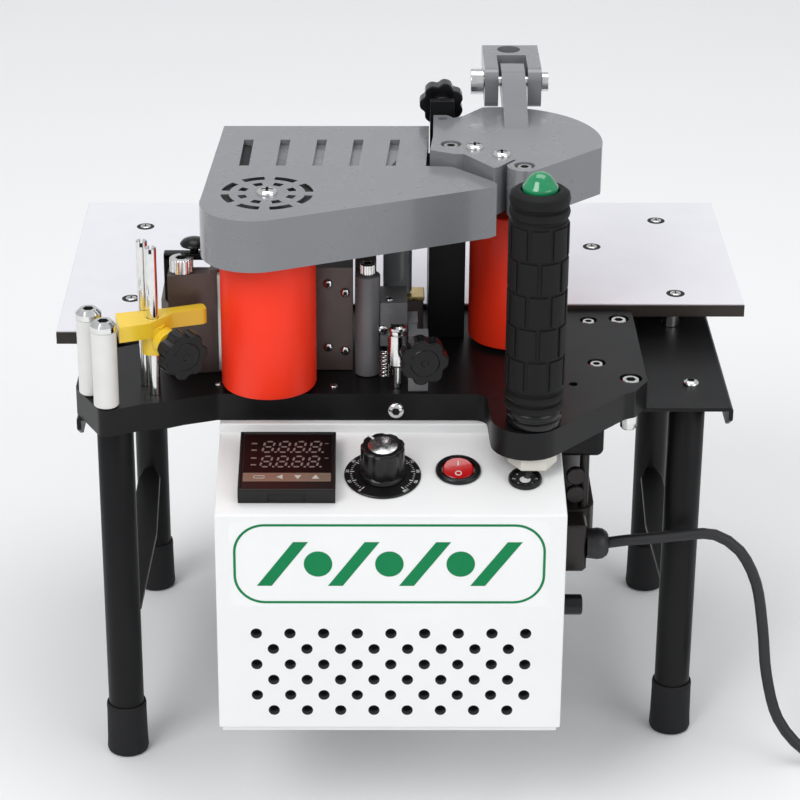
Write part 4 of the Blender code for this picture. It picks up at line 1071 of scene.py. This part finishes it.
def star_knob(name, centre, direction, radius, thickness, hub, body, node):
    """A star knob centred on a place, its face toward a direction, its hub behind."""
    head = slab(star_outline(radius), -thickness / 2, thickness / 2)
    faces = sorted(head.faces, key=lambda face: face.calc_center_median().z)
    top, bottom = faces[-1], faces[0]
    for face in (bottom, top):
        bmesh.ops.inset_region(head, faces=[face], thickness=0.9 * MM, depth=0.5 * MM)
    high = thickness / 2 + 0.5
    dish = [
        (0, high - 0.7), (1.3, high - 0.7), (1.9, high + 0.5), (radius * 0.56, high + 0.5),
        (radius * 0.62, high - 0.2), (0, high - 1.2),
    ]
    front = turned(dish, steps=48)
    back = turned(
        [
            (0, -thickness / 2 + 1), (radius * 0.52, -thickness / 2 + 1),
            (radius * 0.46, -thickness / 2 - hub + 0.5), (radius * 0.42, -thickness / 2 - hub),
            (0, -thickness / 2 - hub),
        ],
        steps=32,
    )
    shape = moved(together(head, front, back), centre, direction)
    return add(
        name, shape, knob_gloss, 0.3, 2, 32.0, nodes=[node] if node else [], body=body
    )


star_knob(
    "guide_knob_star", (-114.6, -118.0, 257.2), (0.53, -0.848, 0), 12.6, 8.6, 4.5, "guide_clamp",
    "guide_knob",
)
star_knob("rear_knob_star", (20.0, 31.0, 341.0), (0, 1, 0), 12.0, 8.6, 4.5, "rear_clamp", "rear_knob")
star_knob(
    "press_knob_star", (8.5, -107.5, 249.4), (0.12, -1, 0), 12.6, 8.6, 4.5, "press_clamp", "press_knob"
)

# ---------------------------------------------------------------------------------------------
# Push handle. A steel stud with a moulded rubber grip: rings at its ends and sunken panels
# between ribs. A green push button sits in the top, and its cable drops through the nut.

HANDLE = (63.8, -133.0)
GRIP_LOW, GRIP_HIGH = 235.5, 352.5
grip_rubber = moulded("grip_rubber", (0.004, 0.004, 0.0045), 0.6, 900.0, 0.45, specular_ior_level=0.24)
button_green = Finish("button_green", 0.12, coat_weight=0.6, coat_roughness=0.05)
button_green.tones(button_green.noise(120.0), (0.0, 0.13, 0.045), (0.005, 0.30, 0.11))
ivory = moulded("ivory_nylon", (0.62, 0.6, 0.54), 0.42, 500.0, 0.1)

grip_profile = [
    (9.6, GRIP_LOW), (13.6, GRIP_LOW), (14.6, GRIP_LOW + 0.6), (15.1, GRIP_LOW + 2.2),
    (14.7, GRIP_LOW + 3.8), (13.4, GRIP_LOW + 4.6), (13.4, GRIP_LOW + 5.4), (14.6, GRIP_LOW + 6.2),
    (15.1, GRIP_LOW + 7.6), (14.7, GRIP_LOW + 9.4), (13.5, GRIP_LOW + 10.2), (13.5, GRIP_LOW + 11.0),
    (14.3, GRIP_LOW + 12.0), (14.3, GRIP_HIGH - 16.0), (13.5, GRIP_HIGH - 15.2),
    (13.5, GRIP_HIGH - 14.2), (14.8, GRIP_HIGH - 13.2), (15.2, GRIP_HIGH - 11.4),
    (14.8, GRIP_HIGH - 9.6), (13.6, GRIP_HIGH - 8.8), (13.6, GRIP_HIGH - 8.0), (14.8, GRIP_HIGH - 7.0),
    (15.2, GRIP_HIGH - 4.6), (14.6, GRIP_HIGH - 2.0), (12.6, GRIP_HIGH - 0.4), (11.6, GRIP_HIGH),
    (9.6, GRIP_HIGH - 0.4),
]
grip = new_piece(
    "grip_core", turned(grip_profile, (*HANDLE, 0), steps=72, closed=True), grip_rubber, angle=30.0
)
fit(grip, "frame", ["handle_grip"])
pads = []
PAD_ROWS, PAD_COLUMNS = 5, 8
pad_low, pad_high = GRIP_LOW + 12.6, GRIP_HIGH - 16.6
pitch = (pad_high - pad_low) / PAD_ROWS
for row in range(PAD_ROWS):
    for column in range(PAD_COLUMNS):
        middle = 360 / PAD_COLUMNS * (column + 0.5 * (row % 2))
        pad = arc_slot(
            (0, 0), 13.6, 15.15, middle - 18.5, middle + 18.5, pad_low + pitch * row + 0.7,
            pad_low + pitch * (row + 1) - 0.7, 6,
        )
        bmesh.ops.translate(pad, vec=(HANDLE[0] * MM, HANDLE[1] * MM, 0), verts=pad.verts)
        pads.append(pad)
add("grip_pads", together(*pads), grip_rubber, 0.45, 2, 40.0)
collar = [
    (8.0, 226.8), (13.4, 226.8), (14.0, 227.6), (14.0, 230.0), (12.9, 230.8), (12.9, 231.6),
    (13.9, 232.4), (13.9, 234.4), (13.2, 235.3), (8.0, 235.3),
]
add(
    "grip_collar", turned(collar, (*HANDLE, 0), steps=64, closed=True), knob_black,
    nodes=["handle_core"],
)
nut = turned(
    [(3.2, 211.0), (12.4, 211.0), (12.7, 210.6), (12.7, 204.4), (12.2, 203.6), (3.2, 203.6)],
    (*HANDLE, 0), steps=6, closed=True,
)
add("grip_nut", nut, ivory, 0.3)
add(
    "grip_stud",
    turned([(0, 204.5), (3.4, 204.5), (3.6, 204.2), (3.6, 197.5), (0, 197.5)], (*HANDLE, 0), steps=28),
    ivory,
)
button = turned(
    [
        (0, 361.0), (2.6, 360.5), (4.8, 359.2), (6.6, 357.2), (7.7, 355.0), (8.6, 354.2), (8.9, 353.4),
        (8.9, 351.8), (0, 351.8),
    ],
    (*HANDLE, 0), steps=56,
)
add(
    "start_button_dome", button, button_green, angle=60.0, nodes=["start_button"],
    body="start_cap",
)

# ---------------------------------------------------------------------------------------------
# Tape guides. Two white nylon rollers turn on shoulder bolts with chamfered hexagon-socket
# caps, and two bright slotted pins carry the yellow height guide, clamped by its star knob.

PINS = (("back", -135.9, -87.7, 307.2), ("front", -130.5, -99.0, 308.0))
for name, node, body, (x, y) in (
    ("guide_sleeve_outer", "guide_roller_outer", "outer_guide", (-163.4, -98.0)),
    ("guide_sleeve_inner", "guide_roller_inner", "inner_guide", (-154.4, -114.0)),
):
    sleeve = turned(
        [(3.2, 227.0), (6.0, 227.0), (6.5, 227.5), (6.5, 268.2), (6.0, 268.7), (3.2, 268.7)], (x, y, 0),
        steps=48, closed=True,
    )
    add(name, sleeve, nylon, nodes=[node], body=body)
    socket_screw(name + "_bolt", 6.7, (x, y, 268.9), 5.0, 2.2)
yellow = moulded(
    "yellow_plastic", (0.80, 0.55, 0.03), 0.34, 700.0, 0.1, coat_weight=0.3, coat_roughness=0.15
)
add_softened("tape_guide", yellow, 0.7, 3, body="tape_slide")
for which, x, y, top in PINS:
    pin = turned(
        [(0, top), (2.5, top), (2.95, top - 0.5), (2.95, 226.6), (0, 226.6)], (x, y, 0), steps=36
    )
    made = new_piece(f"guide_rod_{which}", pin, chrome)
    # The slot in the pin's top takes near-black walls: painted shade.
    carve(made, block((x - 0.75, y - 4, top - 2.8), (x + 0.75, y + 4, top + 1)), recess_painted_shade)
    made.data.set_sharp_from_angle(angle=math.radians(35))
    fit(made, "frame", [f"guide_pin_{which}"])

# ---------------------------------------------------------------------------------------------
# Glue pot. A brown PTFE-coated tank beside the front roller, heated from below; fluted cap
# screws hold its lid and a bright doctor strip stands beside the roller.

ptfe = Finish("brown_ptfe", 0.34, 0.25)
ptfe.tones(ptfe.noise(40.0, 5.0), (0.075, 0.056, 0.052), (0.125, 0.098, 0.09))
ptfe.set("Roughness", ptfe.noise(90.0, 4.0) * 0.2 + 0.26)
ptfe.bump(ptfe.noise(700.0, 3.0), 0.16, 0.0001)
aged_grey = moulded("aged_grey", (0.13, 0.13, 0.135), 0.32, 400.0, 0.15)

add_softened("glue_pot", ptfe, 0.9, 3)
doctor = block((-98.4, -77.6, 229.5), (-94.6, -73.6, 284.0))
add("doctor_strip", doctor, turned_steel, 0.4)


def fluted_screw(name, place, radius, height):
    """A knurled cap screw: fluted side, bright chamfered top and a hexagon socket."""
    shape = moved(fluted(radius, 0.35, 22, 0.0, height, 0.6, 4), place)
    made = new_piece(name, shape, chrome)
    x, y, z = place
    # The socket walls take near-black: painted shade inside the hexagon.
    carve(made, hexagon(radius * 0.52, z + height * 0.4, z + height + 1, (x, y, 0)), recess_painted_shade)
    made.data.set_sharp_from_angle(angle=math.radians(28))
    return fit(made, "frame", [])


fluted_screw("pot_lid_screw", (-117.0, -70.0, 283.3), 6.2, 7.0)
fluted_screw("post_cap_screw", (-20.3, -73.0, 282.9), 4.0, 5.4)
side_screws = (
    ("pot_side_screw_0", (-41.0, -70.4, 276.0)), ("pot_side_screw_1", (-41.0, -70.4, 240.0)),
    ("pot_side_screw_2", (-32.0, -70.4, 271.0)), ("pot_side_screw_3", (-32.0, -70.4, 238.0)),
)
for name, place in side_screws:
    add_screw(name, 2.4, 1.5, place, (0, -1, 0), "hex")
add_screw("plate_small_screw_0", 2.2, 1.2, (-38.0, -90.0, 226.4))
add_screw("plate_small_screw_1", 2.0, 1.2, (-98.0, -88.0, 226.4))

# ---------------------------------------------------------------------------------------------
# Glue gate. A black arm over the pot with a domed mushroom knob, which opens the gate that
# feeds the glue roller.

gate = together(
    block((-127.0, -60.0, 262.2), (-121.5, -54.0, 288.4)),
    block((-127.0, -60.0, 284.8), (-104.0, -54.0, 288.6)),
)
add("gate_arm", gate, powder, 0.8)
mushroom = [
    (0, 296.6), (3.4, 296.2), (6.2, 295.0), (7.4, 293.4), (7.1, 292.6), (4.6, 292.2), (2.4, 291.6),
    (2.2, 288.4), (0, 288.4),
]
add("gate_knob", turned(mushroom, (-111.0, -57.0, 0), steps=48), knob_gloss)

# ---------------------------------------------------------------------------------------------
# Edge press. An arm clamped on a round post carries a black block; a bright fluted pin with a
# spring presses the tape, and a star knob sets it.

add_softened("clamp_post", aged_grey, 0.6, 2, 50.0)
add_softened("clamp_block", aged_grey, 0.8)
press = [
    (0, 262.0), (3.4, 261.8), (4.6, 260.8), (4.8, 259.6), (4.1, 259.0), (4.1, 257.4), (5.1, 256.8),
    (5.1, 240.4), (4.4, 239.2), (2.4, 238.4), (2.2, 226.8), (0, 226.8),
]
made = new_piece("press_pin_body", turned(press, (-5.0, -91.0, 0), steps=56), chrome, angle=30.0)
fit(made, "frame", ["press_pin"])


def coil_spring(name, centre, radius, wire, low, high, turns, steps=14):
    """A coil of chromed wire wound up between two heights."""
    x, y = centre
    route = []
    for step in range(turns * steps + 1):
        angle = math.tau * step / steps
        height = low + (high - low) * step / (turns * steps)
        route.append((x + radius * math.cos(angle), y + radius * math.sin(angle), height))
    spring = cord_curve(name, route, wire)
    spring.data.bevel_resolution = 2
    spring.data.materials.append(chrome.material)
    return fit(spring, "frame", [])


coil_spring("press_spring", (-11.5, -84.0), 2.4, 0.8, 229.0, 244.0, 7)
add_screw("press_block_screw_0", 2.2, 1.2, (-9.0, -70.0, 267.1))
add_screw("press_block_screw_1", 2.6, 1.6, (-12.4, -75.2, 252.0), (0, -1, 0), "hex")

# ---------------------------------------------------------------------------------------------
# Rear column and tape feed. A black column carries the covers; behind it stand a brown feed
# block with a brass strip and the grey lever that presses the tape on.

add_softened("rear_column", powder, 0.8)
brass = Finish("brass", 0.3, 1.0)
brass.tones(brass.noise(400.0), (0.55, 0.40, 0.16), (0.72, 0.56, 0.27))
brass.set("Roughness", brass.noise(300.0) * 0.2 + 0.2)
add("feed_block", block((-14.0, -24.0, 227.0), (10.0, -8.0, 247.0)), ptfe, 0.8)
add("feed_strip", block((-8.0, -25.2, 247.2), (10.5, -11.0, 249.6)), brass, 0.4)
add("feed_beam", block((-27.0, -18.0, 290.0), (12.0, -12.0, 301.0)), powder, 0.6)
add("feed_post", block((-27.0, -20.0, 227.0), (-15.5, -10.0, 289.6)), ptfe, 0.6)
lever = slab(
    [(-9.5, -2.5), (-4.0, -5.0), (4.5, -3.0), (6.5, 2.5), (0.5, 5.2), (-8.5, 3.5)], 250.0, 284.0
)
bmesh.ops.translate(lever, vec=(-2.5 * MM, -20.0 * MM, 0), verts=lever.verts)
add("feed_lever", lever, cast_grey, 1.0, 3)
add_softened("front_axle", turned_steel, 0.3)

# ---------------------------------------------------------------------------------------------
# Handle cable. A thin black flex comes down from the push button, leaves the grip through its
# nut and goes into the collar on the panel.

add_softened("handle_cable", cord_rubber, 0.0, angle=60.0)

# ---------------------------------------------------------------------------------------------
# Cord tie. A soft black strap goes round the stored coil at one place, and holds its turns
# together.

tie_x = COIL_CENTRE[0] - (COIL_RADII[0] + COIL_RADII[-1]) / 2
tie = ring(
    round_outline(-10.6, 10.6, 0.15, 12.9, 3.0, 6), round_outline(-10.2, 10.2, 0.35, 12.7, 2.8, 6),
    -5.0, 5.0,
)
bmesh.ops.transform(
    tie,
    matrix=Matrix.Translation(
        (tie_x * MM, COIL_CENTRE[1] * MM, 0)
    ) @ Matrix.Rotation(math.pi / 2, 4, "X"),
    verts=tie.verts,
)
add("cord_tie", tie, cap_rubber, 0.12)

# ---------------------------------------------------------------------------------------------
# Stage. A plain pale floor curves up behind the machine; a key light from the left, a weaker
# fill from the right, one from above and an even pale world light it softly.

floor_finish = Finish("studio_floor", 0.75)
floor_finish.tones(floor_finish.noise(2.0), (0.80, 0.80, 0.80), (0.84, 0.84, 0.84))
sweep = [(-4.0, 0.0), (1.6, 0.0), (2.2, 0.12), (2.6, 0.5), (2.8, 1.2), (2.8, 3.5)]
floor_shape = bmesh.new()
rows = [[floor_shape.verts.new((x, y, z - 0.0003)) for x in (-5.0, 5.0)] for y, z in sweep]
for near, far in zip(rows, rows[1:]):
    floor_shape.faces.new((near[0], near[1], far[1], far[0]))
new_piece("floor", floor_shape, floor_finish, angle=80.0)


def soft_light(name, place, aim, size, power):
    """A rectangular lamp that faces a point, sized in metres, with its power in watts."""
    data = bpy.data.lights.new(name, "AREA")
    data.shape = "RECTANGLE"
    data.size, data.size_y = size
    data.energy = power
    lamp = bpy.data.objects.new(name, data)
    lamp.location = place
    lamp.rotation_euler = (Vector(place) - Vector(aim)).to_track_quat("Z", "Y").to_euler()
    bpy.context.scene.collection.objects.link(lamp)


soft_light("key", (-1.1, -1.5, 1.9), (0.0, -0.05, 0.2), (1.2, 1.2), 25.0)
soft_light("fill", (1.5, -1.3, 1.1), (0.0, -0.05, 0.2), (1.4, 1.2), 10.0)
soft_light("top", (0.1, 0.35, 2.2), (0.0, 0.0, 0.2), (1.8, 1.2), 18.0)
world = bpy.data.worlds.new("studio")
world.use_nodes = True
world.node_tree.nodes["Background"].inputs["Color"].default_value = (0.9, 0.92, 0.95, 1.0)
world.node_tree.nodes["Background"].inputs["Strength"].default_value = 0.66
bpy.context.scene.world = world
bpy.context.scene.view_settings.view_transform = "Standard"
